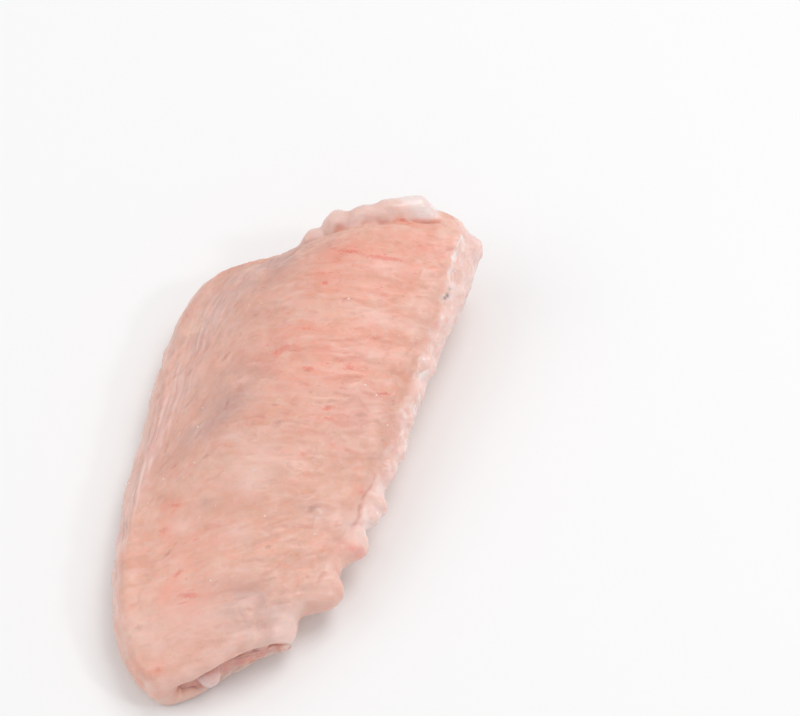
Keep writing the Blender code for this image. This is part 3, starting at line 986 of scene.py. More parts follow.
@dataclass(frozen=True)
class PlainFinish:
    """An even finish without a pattern."""

    name: str
    tone: Colour
    roughness: float
    ior: float = 1.5
    coat: float = 0.0
    coat_roughness: float = 0.03

    def build(self) -> Finish:
        """Makes the material.

        Returns:
            The material, ready to put on a piece.
        """
        material, graph = new_material(self.name)
        graph.shade({
            "Base Color": self.tone, "Roughness": self.roughness, "IOR": self.ior,
            "Coat Weight": self.coat, "Coat Roughness": self.coat_roughness,
        })
        return material


SKIN = SkinFinish(
    name="raw_skin_finish", light=srgb(236, 190, 171), dark=srgb(227, 170, 149), blotch=7.0, fleck=1.3,
    fleck_share=0.25, dry=0.50, wet=0.36, coat=0.26, coat_roughness=0.16, grain=0.35, grain_depth=0.05,
    subsurface=0.35, depth=1.4,
)
FLESH = FleshFinish(
    name="raw_flesh_finish", light=srgb(230, 160, 146), dark=srgb(212, 128, 118), blotch=3.0, fleck=0.6,
    dry=0.42, wet=0.25, coat=0.5, grain=0.3, grain_depth=0.04, subsurface=0.45, depth=1.8,
)
CARTILAGE = CartilageFinish(
    name="cartilage_finish", light=srgb(240, 226, 224), dark=srgb(228, 204, 200), blotch=2.5, fleck=0.7,
    dry=0.34, wet=0.2, coat=0.6, coat_roughness=0.08, grain=0.5, grain_depth=0.015, subsurface=0.5, depth=1.2,
    spread=(1.0, 0.6, 0.5),
)
# Near-white bead colour: a painted glint; the low roughness and the coat are the drops' real wet gloss.
WET_GLINT = PlainFinish("wet_grain_finish", srgb(252, 224, 214), 0.12, 1.4, 0.8, 0.05)
FLOOR = PlainFinish("studio_floor", (0.93, 0.93, 0.93, 1.0), 0.75)


def placed(name: str, data: bpy.types.ID) -> Piece:
    """Makes an object of its data and puts it in the scene.

    Args:
        name: The object's name.
        data: A mesh, a light or a camera.

    Returns:
        The object.
    """
    made = bpy.data.objects.new(name, data)
    bpy.context.scene.collection.objects.link(made)
    return made


def mesh_object(name: str, points: Points, faces: list, zones: Zones) -> Piece:
    """Makes an object from points in mm.

    Args:
        name: The piece's name.
        points: Vertex positions in mm.
        faces: Lists of vertex numbers.
        zones: Values to keep on the vertices, by attribute name.

    Returns:
        The object, linked to the scene, with outward normals and smooth faces.
    """
    mesh = bpy.data.meshes.new(name)
    mesh.from_pydata((np.asarray(points) * MM).tolist(), [], faces)
    for label, values in zones.items():
        layer = mesh.attributes.new(label, "FLOAT", "POINT")
        layer.data.foreach_set("value", np.asarray(values, np.float32))
    facing = bmesh.new()
    facing.from_mesh(mesh)
    bmesh.ops.recalc_face_normals(facing, faces=facing.faces)
    facing.to_mesh(mesh)
    facing.free()
    mesh.shade_smooth()
    return placed(name, mesh)


def bake_nodes(piece: Piece, tree: Tree, values: dict) -> None:
    """Runs a geometry node tree on a piece and keeps the result as a plain mesh.

    Args:
        piece: The object to change.
        tree: The geometry node tree.
        values: Input name to value.
    """
    modifier = piece.modifiers.new(tree.name, "NODES")
    modifier.node_group = tree
    for item in tree.interface.items_tree:
        if item.in_out == "INPUT" and item.name in values:
            modifier[item.identifier] = values[item.name]
    graph = bpy.context.evaluated_depsgraph_get()
    mesh = bpy.data.meshes.new_from_object(
        piece.evaluated_get(graph), preserve_all_data_layers=True, depsgraph=graph
    )
    piece.modifiers.remove(modifier)
    old = piece.data
    piece.data = mesh
    mesh.name = piece.name
    bpy.data.meshes.remove(old)


def tube_faces(rings: int, around: int) -> list[tuple[int, ...]]:
    """Quads between closed rings of points that follow each other.

    Args:
        rings: How many rings there are.
        around: How many points each has.

    Returns:
        Four vertex numbers for each face.
    """
    faces = []
    for ring in range(rings - 1):
        low, high = ring * around, (ring + 1) * around
        for k in range(around):
            after = (k + 1) % around
            faces.append((low + k, high + k, high + after, low + after))
    return faces


def capped(rings: list[Points], zones: list[Zones]) -> tuple[Points, list, Zones]:
    """Closes a run of rings with a fan at each end.

    Args:
        rings: Rings with the same number of points.
        zones: Zone values for each ring.

    Returns:
        All points, all faces, and the zone values of all points.
    """
    around = len(rings[0])
    faces = tube_faces(len(rings), around)
    points = np.concatenate([*rings, [rings[0].mean(axis=0)], [rings[-1].mean(axis=0)]])
    first, last, base = len(points) - 2, len(points) - 1, (len(rings) - 1) * around
    for k in range(around):
        after = (k + 1) % around
        faces.append((first, k, after))
        faces.append((last, base + after, base + k))
    ends = [{label: [values.mean()] for label, values in zone.items()} for zone in (zones[0], zones[-1])]
    merged = {label: np.concatenate([zone[label] for zone in [*zones, *ends]]) for label in zones[0]}
    return points, faces, merged


@dataclass(frozen=True)
class Blotch:
    """A soft spot of colour on the upper skin. Place and radii in mm."""

    x: float
    y: float
    radius: float
    strength: float
    stretch: float = 1.6
    turn: float = 28.0

    def halo(self) -> Blotch:
        """The faint, wider spot round this one."""
        return Blotch(self.x, self.y, 3.0 * self.radius, self.strength, 0.5 * self.stretch + 0.5, self.turn)

    def weight(self, points: Points) -> Points:
        """How strong the spot is.

        Args:
            points: Points in mm.

        Returns:
            Its strength at each point.
        """
        turn = math.radians(self.turn)
        dx, dy = points[..., 0] - self.x, points[..., 1] - self.y
        run = (dx * math.cos(turn) + dy * math.sin(turn)) / (self.radius * self.stretch)
        rise = (-dx * math.sin(turn) + dy * math.cos(turn)) / self.radius
        return self.strength * np.exp(-(run**2 + rise**2))


def blotches(*rows: tuple) -> tuple[Blotch, ...]:
    """Spots from rows of x, y, radius, strength, stretch and turn."""
    return tuple(Blotch(*row) for row in rows)


@dataclass(frozen=True)
class Surface:
    """The smooth wing as a grid of rings, and each point's place on it. Lengths in mm."""

    loft: WingLoft
    points: Points
    across: Points
    along: Points
    side: Points
    width: Points

    @property
    def leading(self) -> Points:
        """Distance from the leading edge."""
        return self.across * self.width

    @property
    def trailing(self) -> Points:
        """Distance from the trailing edge."""
        return (1 - self.across) * self.width

    def reach(self, cut: Cut) -> Points:
        """Distance from a cut, in plan."""
        place = np.full_like(self.along, float(cut is Cut.ELBOW))
        return distance(self.points[..., :2], self.loft.plan(self.across, place))

    def noise(self, scale: float, shift: float) -> Points:
        """Even noise over the grid, about -1 to 1."""
        return folded_noise(self.points, scale, 0.0, 1.0, shift)


@dataclass(frozen=True)
class Follicles:
    """Two staggered rows of feather follicles along the trailing edge. Sizes in mm."""

    loft: WingLoft
    count: int = 16
    span: tuple = (0.10, 0.99)
    radius: float = 2.4
    height: float = 0.55
    outer_row: float = 0.995
    inner_row: float = 0.91
    inner_size: float = 0.75
    pit_radius: float = 0.45
    pit_depth: float = 0.25
    bumps: tuple = (
        (0.85, 0.87, 1.3, 0.28), (0.885, 0.82, 1.4, 0.32), (0.94, 0.85, 1.0, 0.26), (0.80, 0.90, 1.2, 0.22),
        (0.90, 0.74, 1.2, 0.22), (0.91, 0.60, 1.0, 0.18),
    )

    def spots(self) -> list[tuple[Points, float]]:
        """Lays the follicles out.

        Returns:
            The centre and the relative size of each.
        """
        places = np.linspace(*self.span, self.count)
        step = places[1] - places[0]
        spots = []
        for k, place in enumerate(places):
            swell = 1 + 0.25 * math.sin(2.4 * k)
            spots.append((self.loft.spot(self.outer_row, place), swell))
            spots.append((self.loft.spot(self.inner_row, place - step / 2), self.inner_size * swell))
        return spots

    def relief(self, points: Points) -> Points:
        """Bumps with a small pit in each, where a feather sat.

        Args:
            points: Points in mm.

        Returns:
            Height along the surface's normal.
        """
        raised = np.zeros(points.shape[:-1])
        pits = np.zeros(points.shape[:-1])
        for across, along, radius, height in self.bumps:
            raised += height * dome(points, self.loft.spot(across, along), radius)
        for centre, size in self.spots():
            bump = dome(points, centre, self.radius * size)
            raised = np.maximum(raised, self.height * size * bump)
            pit = gauss(distance(points, centre), self.pit_radius * size)
            pits = np.maximum(pits, self.pit_depth * pit)
        return raised - pits


@dataclass(frozen=True)
class WristLobes:
    """Lobes of skin at the wrist end of the trailing edge. Sizes in mm."""

    loft: WingLoft
    lobes: tuple = ((0.02, 0.7, 3.0), (0.13, 2.8, 3.4), (0.24, 2.1, 3.0), (0.325, 1.5, 2.8))
    skew: tuple = (0.7, -0.3)
    onward: float = 0.02
    hollow_place: float = 0.84
    hollow_rise: float = 5.0
    hollow_depth: float = 0.45
    crease_inset: float = 1.7
    crease_width: float = 0.26

    def relief(self, points: Points) -> Points:
        """Leaning domes with a hollow behind each.

        Args:
            points: Points in mm.

        Returns:
            Height along the surface's normal.
        """
        raised = np.zeros(points.shape[:-1])
        for place, reach, half in self.lobes:
            edge = np.array(place)
            height = self.loft.rim(np.array(1.0), edge)
            tip = np.append(self.loft.plan(np.array(1.0), edge), height)
            way = self.loft.plan(np.array(1.0), edge + self.onward) - tip[:2]
            way = np.append(way / np.linalg.norm(way), 0.0)
            run = (points - tip) @ way
            skewed = points + (run * np.where(run > 0, *self.skew))[..., None] * way
            behind = self.loft.plan(np.array(self.hollow_place), edge + self.onward)
            behind = np.append(behind, height + self.hollow_rise)
            hollow = self.hollow_depth * dome(points, behind, half)
            raised += reach * dome(skewed, tip, half * 1.25) - hollow
        return raised

    def creases(self, surface: Surface) -> Points:
        """Red creases behind the lobes; their darker tone in the finish is partly painted shade.

        Args:
            surface: The smooth wing.

        Returns:
            Their strength at each point, from 0 to 1.
        """
        along = surface.along
        wander = 0.9 * surface.noise(3.0, 23.0)
        line = gauss(surface.trailing - self.crease_inset - wander, self.crease_width)
        gaps = ease((surface.noise(2.6, 41.0) + 0.05) / 0.25)
        return surface.side * line * gaps * ease((along - 0.10) / 0.05) * ease((0.40 - along) / 0.06)


@dataclass(frozen=True)
class FatRoll:
    """The roll of skin and fat at the elbow cut, with its white knob. Sizes in mm."""

    loft: WingLoft
    widths: tuple = ((0.0, 6.2), (0.35, 5.0), (0.60, 4.4), (0.70, 3.8), (1.0, 3.6))
    height: float = 0.5
    spread: float = 2.2
    groove_depth: float = 1.1
    groove_width: float = 1.2
    lumps: tuple = (
        (0.12, 0.965, 2.6, 0.8), (0.26, 0.975, 3.2, 1.7), (0.40, 0.965, 3.0, 0.9), (0.56, 0.97, 3.4, 0.8),
        (0.70, 0.985, 3.0, 1.15), (0.765, 0.982, 2.4, 0.65),
    )
    knob_lumps: int = 2
    knob_reach: float = 3.4

    def width(self, across: Points) -> Points:
        """The roll's width at shares of the wing's width."""
        return np.interp(across, *np.array(self.widths).T)

    def relief(self, surface: Surface) -> list[Points]:
        """The roll with the groove behind it, and the lumps on it.

        Args:
            surface: The smooth wing.

        Returns:
            Heights along the surface's normal, to be added up.
        """
        across, side = surface.across, surface.side
        reach, width = surface.reach(Cut.ELBOW), self.width(across)
        roll = self.height * gauss(reach - width * 0.4, self.spread)
        groove = self.groove_depth * gauss(reach - width, self.groove_width)
        fade = ease((across - 0.04) / 0.12) * ease((0.84 - across) / 0.1)
        parts = [side * fade * (roll - groove)]
        for place, share, radius, height in self.lumps:
            parts.append(side * height * dome(surface.points, self.loft.spot(place, share), radius))
        return parts

    def zones(self, surface: Surface) -> Zones:
        """Where the fat, its knob and the crease behind both lie.

        Args:
            surface: The smooth wing.

        Returns:
            Their strength at each point, from 0 to 1, by name.
        """
        across, side, elbow = surface.across, surface.side, surface.reach(Cut.ELBOW)
        patchy = 0.5 + 0.5 * surface.noise(2.2, 3.0)
        ragged = self.width(across) - 0.4 + 0.9 * surface.noise(2.4, 71.0)
        fade = side * ease((across - 0.03) / 0.1) * ease((0.84 - across) / 0.06)
        roll = fade * ease((ragged - elbow) / 0.6 + 0.5)
        tops = [self.loft.spot(*lump[:2]) for lump in self.lumps[-self.knob_lumps:]]
        away = np.min([distance(surface.points, top) for top in tops], axis=0)
        away = away + 0.5 * surface.noise(2.0, 17.0)
        knob = side * ease((self.knob_reach - away) / 1.4) * ease((3.6 - elbow) / 0.7)
        gaps = ease((surface.noise(3.0, 81.0) + 0.2) / 0.3)
        # The crease at the roll's edge and the one under the knob, which the finish darkens: painted shade,
        # with the red line under the knob.
        crease = 0.8 * fade * gauss(elbow - ragged, 0.45) * gaps * (1 - ease((across - 0.55) / 0.1))
        crease += 1.3 * side * gauss(elbow - 3.7, 0.34) * ease((3.8 - away) / 0.8)
        fat = np.clip(roll * (0.6 + 0.5 * patchy), 0, 1) * (1 - knob)
        return {"fat": fat, "knob": knob, "crease": crease}


@dataclass(frozen=True)
class SkinZones:
    """Where each colour and kind of relief lies on the skin. Places in mm."""

    band_width: tuple = (
        (0.14, 0.0), (0.30, 0.9), (0.41, 1.1), (0.56, 1.2), (0.72, 1.9), (0.83, 2.7), (0.90, 3.2),
        (0.96, 2.4), (1.0, 1.0),
    )
    streak_path: tuple = (
        (0.05, 0.6, 0.7, 0.0), (0.14, 0.9, 0.8, 0.5), (0.24, 1.2, 0.9, 0.8), (0.31, 2.0, 1.1, 1.0),
        (0.37, 2.8, 1.3, 1.0), (0.44, 3.3, 1.6, 1.0), (0.52, 4.2, 2.2, 0.8), (0.60, 5.2, 2.8, 0.6),
        (0.72, 7.0, 3.4, 0.45), (0.85, 8.0, 3.6, 0.0),
    )
    blushes: tuple = blotches(
        (-1.6, 10.1, 4.0, 0.8), (3.1, 8.5, 3.0, 0.8), (8.9, 12.4, 4.0, 0.40), (8.9, 19.4, 4.0, 0.5),
        (5.2, 27.3, 6.0, 0.42), (-3.2, 29.0, 4.0, 0.7), (8.0, 33.0, 5.0, 0.4), (10.0, 39.5, 4.0, 0.6),
        (2.0, -29.9, 1.8, 0.8, 1.2), (4.9, -32.7, 1.3, 1.0, 2.6), (-4.2, -24.3, 1.4, 0.8, 1.2),
        (-5.4, -20.1, 1.2, 0.7), (7.4, -44.1, 2.0, 0.4), (2.0, 18.0, 14.0, 0.18, 1.2),
        (-2.0, -33.0, 9.0, 0.22, 1.0), (21.0, -12.0, 5.0, 0.25, 2.0, 90.0), (12.0, 5.0, 7.5, 0.55, 1.3),
        (1.5, -23.5, 4.5, 0.5, 1.2), (6.0, -35.5, 3.6, 0.5, 1.2),
    )
    greys: tuple = blotches(
        (-16.0, 20.0, 6.0, 0.5, 2.0, 70.0), (-6.2, -3.0, 4.5, 0.55, 2.2, 75.0),
        (0.0, -18.1, 0.9, 0.45, 1.2), (15.2, -11.3, 1.2, 0.4, 2.0), (17.0, -29.0, 3.0, 0.4, 1.4),
        (15.0, -30.2, 4.6, 0.75, 1.5), (-10.8, 28.5, 4.0, 0.55, 1.8, 40.0),
        (-12.0, 2.0, 9.0, 0.35, 2.4, 85.0), (14.0, 5.0, 8.0, 0.32, 1.4), (4.0, -16.0, 9.0, 0.18, 1.4),
    )
    pales: tuple = blotches(
        (5.5, -8.0, 3.0, 0.35), (4.9, -12.6, 2.4, 0.32, 1.2), (-1.7, -22.7, 1.4, 0.45),
        (7.0, -20.4, 1.4, 0.4), (19.0, -10.4, 1.8, 0.4, 2.4), (19.3, -27.5, 2.0, 0.5, 1.5),
        (7.5, -36.0, 9.0, 0.2, 1.3), (-1.9, -6.7, 0.9, 0.45, 2.6), (9.0, 22.0, 1.6, 0.35, 2.4),
        (6.0, 30.5, 1.6, 0.3, 3.0), (11.0, 16.5, 1.2, 0.35, 3.0), (24.0, -17.5, 2.4, 0.35, 1.2),
        (23.0, -9.0, 2.0, 0.45, 1.2), (22.0, -2.0, 1.8, 0.4, 1.2), (9.8, -34.6, 2.4, 0.18),
        (1.5, -40.5, 3.6, 0.22, 1.2),
    )
    dark_pits: tuple = (
        (15.5, 32.7, 15.3, 0.40), (15.3, 32.0, 15.3, 0.30), (14.8, 31.4, 15.3, 0.32),
        (15.8, 31.2, 15.2, 0.24), (14.6, 30.3, 15.4, 0.28), (15.1, 33.8, 15.5, 0.26),
        (15.8, 34.4, 15.4, 0.20), (14.9, 32.9, 15.4, 0.20),
    )
    vessels: tuple = blotches(
        (-1.0, 29.8, 0.38, 0.9, 6.5, 12.0), (4.7, 31.3, 0.42, 1.1, 8.0, 27.0),
        (1.0, 27.5, 0.32, 0.6, 5.0, 21.0), (-1.7, 23.2, 0.40, 0.8, 1.6, 22.0),
        (6.4, 26.1, 0.38, 0.8, 1.9, 21.0), (-1.3, 10.4, 0.9, 0.62, 2.0, 32.0),
        (-2.8, 9.2, 0.7, 0.45, 1.8, 50.0), (3.4, 8.4, 0.52, 0.9, 2.0, 21.0),
        (8.8, 12.0, 0.60, 0.85, 2.0, 40.0), (6.6, 12.2, 0.34, 0.6, 5.0, 12.0),
        (16.1, 26.9, 0.50, 1.0, 2.2, 71.0), (9.5, 18.6, 0.6, 0.55, 2.0, 39.0),
        (3.9, 40.4, 0.36, 0.9, 3.6, 34.0), (9.4, 4.2, 0.42, 1.0, 2.6, 52.0),
        (10.4, 2.6, 0.55, 0.6, 2.6, 33.0), (9.7, -4.8, 0.36, 0.75, 1.8, 60.0),
        (19.8, -4.3, 0.40, 0.8, 1.5, 70.0), (15.1, 11.5, 0.34, 0.7, 5.0, 32.0),
        (-0.3, 14.4, 0.32, 0.6, 5.0, 15.0), (-4.2, -24.3, 0.6, 0.7, 1.6, 32.0),
        (-4.5, -19.9, 0.36, 0.7, 4.0, 18.0), (1.9, -29.9, 0.50, 0.8, 2.2, 74.0),
        (5.4, -32.5, 0.50, 1.0, 3.6, 22.0), (6.7, -44.2, 0.5, 0.6, 1.4, 32.0),
        (21.8, -12.1, 0.46, 0.9, 2.6, 74.0), (21.6, -17.3, 0.36, 0.6, 4.6, 105.0),
        (-3.0, 24.5, 0.32, 0.5, 4.0, 20.0), (3.0, 22.0, 0.32, 0.45, 5.0, 24.0),
    )
    marks: tuple = blotches(
        (14.0, 6.2, 0.50, 0.9, 2.6, 55.0), (-3.8, -11.1, 0.42, 0.8, 1.8, 60.0),
        (-5.9, -1.4, 0.34, 0.8, 3.0, 87.0), (15.1, -11.7, 0.42, 0.9, 2.8, 70.0),
        (-1.5, -27.7, 0.34, 0.8, 3.6, 73.0), (0.9, -39.7, 0.55, 0.9, 1.6, 29.0),
        (12.5, -20.5, 0.40, 0.7, 1.5, 50.0), (-12.3, -2.7, 0.34, 0.7, 4.2, 69.0),
        (-8.2, -13.8, 0.40, 0.7, 2.4, 70.0), (-7.5, -7.5, 0.34, 0.8, 4.0, 88.0),
        (16.0, -14.3, 0.32, 0.5, 7.0, 40.0), (4.2, -2.0, 0.42, 0.6, 2.4, 30.0),
        (1.8, 0.4, 0.36, 0.6, 3.2, 24.0), (-10.6, 6.4, 0.44, 0.8, 2.6, 72.0),
        (-9.9, 14.5, 0.42, 0.6, 2.4, 66.0), (-14.2, 15.5, 0.36, 0.6, 3.0, 70.0),
        (3.9, -2.9, 0.55, 0.6, 1.5, 30.0), (-15.1, 2.7, 0.40, 0.8, 2.2, 84.0),
        (16.0, -17.5, 0.34, 0.5, 3.4, 34.0), (5.7, 5.0, 0.40, 0.6, 1.3, 30.0),
    )

    @staticmethod
    def spots(given: tuple[Blotch, ...], surface: Surface) -> Points:
        """The strength of a set of spots on the upper side."""
        return sum(spot.weight(surface.points) for spot in given) * surface.side

    def leading_streak(self, surface: Surface) -> Points:
        """The strip of streaks inside the leading edge.

        Args:
            surface: The smooth wing.

        Returns:
            Its strength at each point, from 0 to 1.
        """
        along = surface.along
        places, centre, half, strength = np.array(self.streak_path).T
        away = (surface.leading - np.interp(along, places, centre)) / np.interp(along, places, half)
        return surface.side * np.interp(along, places, strength) * np.exp(-(away**2))

    def trailing_band(self, surface: Surface) -> tuple[Points, Points, Points]:
        """The pale band of follicles along the trailing edge.

        Args:
            surface: The smooth wing.

        Returns:
            The strength of the band, of the painted wet highlights along its crest, and of the pale strip
            beside it.
        """
        along, trailing, side = surface.along, surface.trailing, surface.side
        places, widths = np.array(self.band_width).T
        ragged = np.interp(along, places, widths) + 0.8 * surface.noise(1.8, 61.0)
        round_edge = ease((surface.points[..., 2] - 4.0) / 4.0)
        onward = (side + (1 - side) * round_edge) * ease((along - 0.16) / 0.15)
        band = onward * ease((ragged - trailing) / 2.2 + 0.5)
        # Where the painted wet highlights lie along the band's crest.
        crest = onward * gauss(trailing - ragged + 0.5, 0.75) * ease((surface.noise(3.4, 91.0) + 0.3) / 0.5)
        crest *= 0.40 + 0.55 * ease((along - 0.34) / 0.14)
        beside = gauss(trailing - ragged - 1.8, 1.5) * ease((along - 0.58) / 0.15)
        return band, crest, 0.30 * onward * beside

    def measure(self, surface: Surface, roll: FatRoll, lobes: WristLobes) -> Zones:
        """Measures every zone.

        Args:
            surface: The smooth wing.
            roll: The fat roll.
            lobes: The lobes at the wrist.

        Returns:
            Strengths from 0 to 1 by zone, the shares of the folds' ways, and each point's
            place along and across both edges in mm.
        """
        across, along, side = surface.across, surface.along, surface.side
        leading, trailing, under = surface.leading, surface.trailing, 1 - side
        patchy = 0.5 + 0.5 * surface.noise(2.2, 3.0)
        soft = 0.5 + 0.5 * surface.noise(6.0, 51.0)
        band, crest, strip = self.trailing_band(surface)
        lip = ease((1.5 + 1.6 * patchy - surface.reach(Cut.WRIST)) / 1.6)
        streak = self.leading_streak(surface)
        rolls = roll.zones(surface)
        fat, knob = rolls["fat"], rolls["knob"]
        lobed = ease((0.42 - along) / 0.08) * ease((3.6 + 1.5 * (patchy - 0.5) - trailing) / 2.0)
        # A paler rim just inside the leading edge: a painted wet sheen.
        rimmed = ease((2.2 - leading) / 1.6) * ease((along - 0.1) / 0.1) * ease((0.9 - along) / 0.15)
        pale = self.spots(self.pales, surface) + 0.65 * lip * patchy + under * 0.25 * soft
        pale = pale + 0.36 * lobed * (0.5 + 0.5 * patchy) + 0.4 * side * rimmed
        pale = pale + strip * (0.4 + 0.8 * soft)
        blush = self.spots(self.blushes, surface) * (1 - 0.75 * band) * (1 - 0.7 * streak)
        blush = blush + 0.7 * side * sum(vessel.halo().weight(surface.points) for vessel in self.vessels)
        grey = self.spots(self.greys, surface) + under * 0.35
        # Grooves that the finish darkens: painted shade, with the skin's own red crease lines.
        groove = 0.5 * lobes.creases(surface) + 0.6 * rolls["crease"]
        lead = side * ease((0.42 - across) / 0.18) * ease((along - 0.25) / 0.15)
        smoother = 0.7 + 0.3 * ease((along - 0.2) / 0.25)
        pits = [gauss(distance(surface.points, np.array(place)), radius) for *place, radius in self.dark_pits]
        return {
            "pale": np.clip(pale, 0, 0.85), "blush": np.clip(blush, 0, 1), "grey": np.clip(grey, 0, 0.85),
            "band": band, "crest": crest, "streak": streak, "fat": fat, "knob": knob,
            "groove": np.clip(groove, 0, 1), "dark_pit": 0.85 * np.max(pits, axis=0),
            "vessel": np.clip(self.spots(self.vessels, surface), 0, 1),
            "mark": np.clip(self.spots(self.marks, surface), 0, 1),
            "gloss": np.clip(0.5 * band + 0.6 * crest + 0.5 * fat + knob + 0.3 * lip, 0, 1),
            "lump": np.clip(band + 0.7 * fat, 0, 1) * (1 - knob),
            "fold_amount": (0.35 + 0.65 * side) * smoother * (1 - 0.8 * np.clip(band + fat + knob, 0, 1)),
            "turn_lead": lead, "turn_low": side * ease((0.42 - along) / 0.2) * (1 - lead),
            "cut": np.zeros_like(along),
            "wet": np.clip(0.8 * band + 0.06 * side, 0, 1) * ease((along - 0.1) / 0.1),
            "inset": leading, "trail": trailing, "run": along * EDGE_LENGTH,
        }


@dataclass(frozen=True)
class CutLips:
    """The lip of skin at each cut, which turns in and closes behind the flesh. Sizes in mm."""

    over: int
    thickness: float = 0.9
    lower_thickness: float = 0.5
    closed_end: tuple = (0.50, 4.4)
    overhang: dict = field(default_factory=lambda: {Cut.WRIST: 3.4, Cut.ELBOW: 1.6})
    lower_step: float = 0.5
    core_ends: tuple = (0.24, 0.74)
    turns: tuple = (36, 72, 108, 144, 180)
    pocket: float = 2.2

    def inward(self, ring: Points, cut: Cut) -> Points:
        """The level direction into the meat, from the ring of skin at a cut."""
        way = np.cross((0, 0, 1), ring[self.over] - ring[0]) * (1 if cut is Cut.WRIST else -1)
        return way / np.linalg.norm(way)

    def step(self, cut: Cut, upper: Points) -> Points:
        """How far the flesh lies behind the skin's edge."""
        return self.lower_step + (self.overhang[cut] - self.lower_step) * upper

    def frame(self, ring: Points) -> tuple[Points, Points, Points, Points]:
        """What a cut's rings are laid out from.

        Args:
            ring: The skin's outer edge at the cut.

        Returns:
            The nearest points of the cut's middle line, the directions to them, how far each
            point belongs to the upper side, and the skin's thickness there.
        """
        leading, trailing = ring[0], ring[self.over]
        start = leading + (trailing - leading) * self.core_ends[0]
        end = leading + (trailing - leading) * self.core_ends[1]
        start[2] = end[2] = 0.5 * (ring[:, 2].max() + ring[:, 2].min())
        core, chord = end - start, trailing - leading
        share = np.clip((ring - start) @ core / (core @ core), 0, 1)
        nearest = start + share[:, None] * core
        upper = ease((ring[:, 2] - start[2]) / (0.6 * (ring[:, 2].max() - start[2])))[:, None]
        place = ((ring - leading) @ chord / (chord @ chord))[:, None]
        thickness = self.lower_thickness + (self.thickness - self.lower_thickness) * upper
        hanging = self.closed_end[1] * (1 - ease(place / self.closed_end[0]))
        thickness = thickness + hanging * (0.7 + 0.3 * upper)
        thickness = np.minimum(thickness, 0.8 * distance(nearest, ring)[:, None])
        return nearest, unit(nearest - ring), upper, thickness

    def rings(self, ring: Points, cut: Cut) -> list[tuple[Points, float]]:
        """Turns the skin in at a cut and closes it behind the flesh.

        Args:
            ring: The skin's outer edge at the cut.
            cut: Which end.

        Returns:
            The rings from the edge inwards, with how raw each is.
        """
        inwards = self.inward(ring, cut)
        nearest, towards, upper, thickness = self.frame(ring)
        half = 0.5 * thickness * (1 + 0.4 * perlin(ring, 2.2, NOISE_SEED)[:, None])
        made = []
        for angle in np.radians(self.turns):
            turn = ring + towards * half * (1 - math.cos(angle)) - inwards * 0.4 * half * math.sin(angle)
            made.append((turn, 0.6 * float(ease(np.array(angle / math.pi)))))
        inner = made[-1][0]
        depth = self.step(cut, upper) + self.pocket
        for part in (0.25, 0.5, 0.75, 1.0):
            made.append((inner + inwards * depth * part + towards * 0.25 * part, 0.8))
        wall = made[-1][0]
        middle = nearest + inwards * depth
        for part in (0.6, 0.25):
            made.append((middle + (wall - middle) * part, 1.0))
        return made


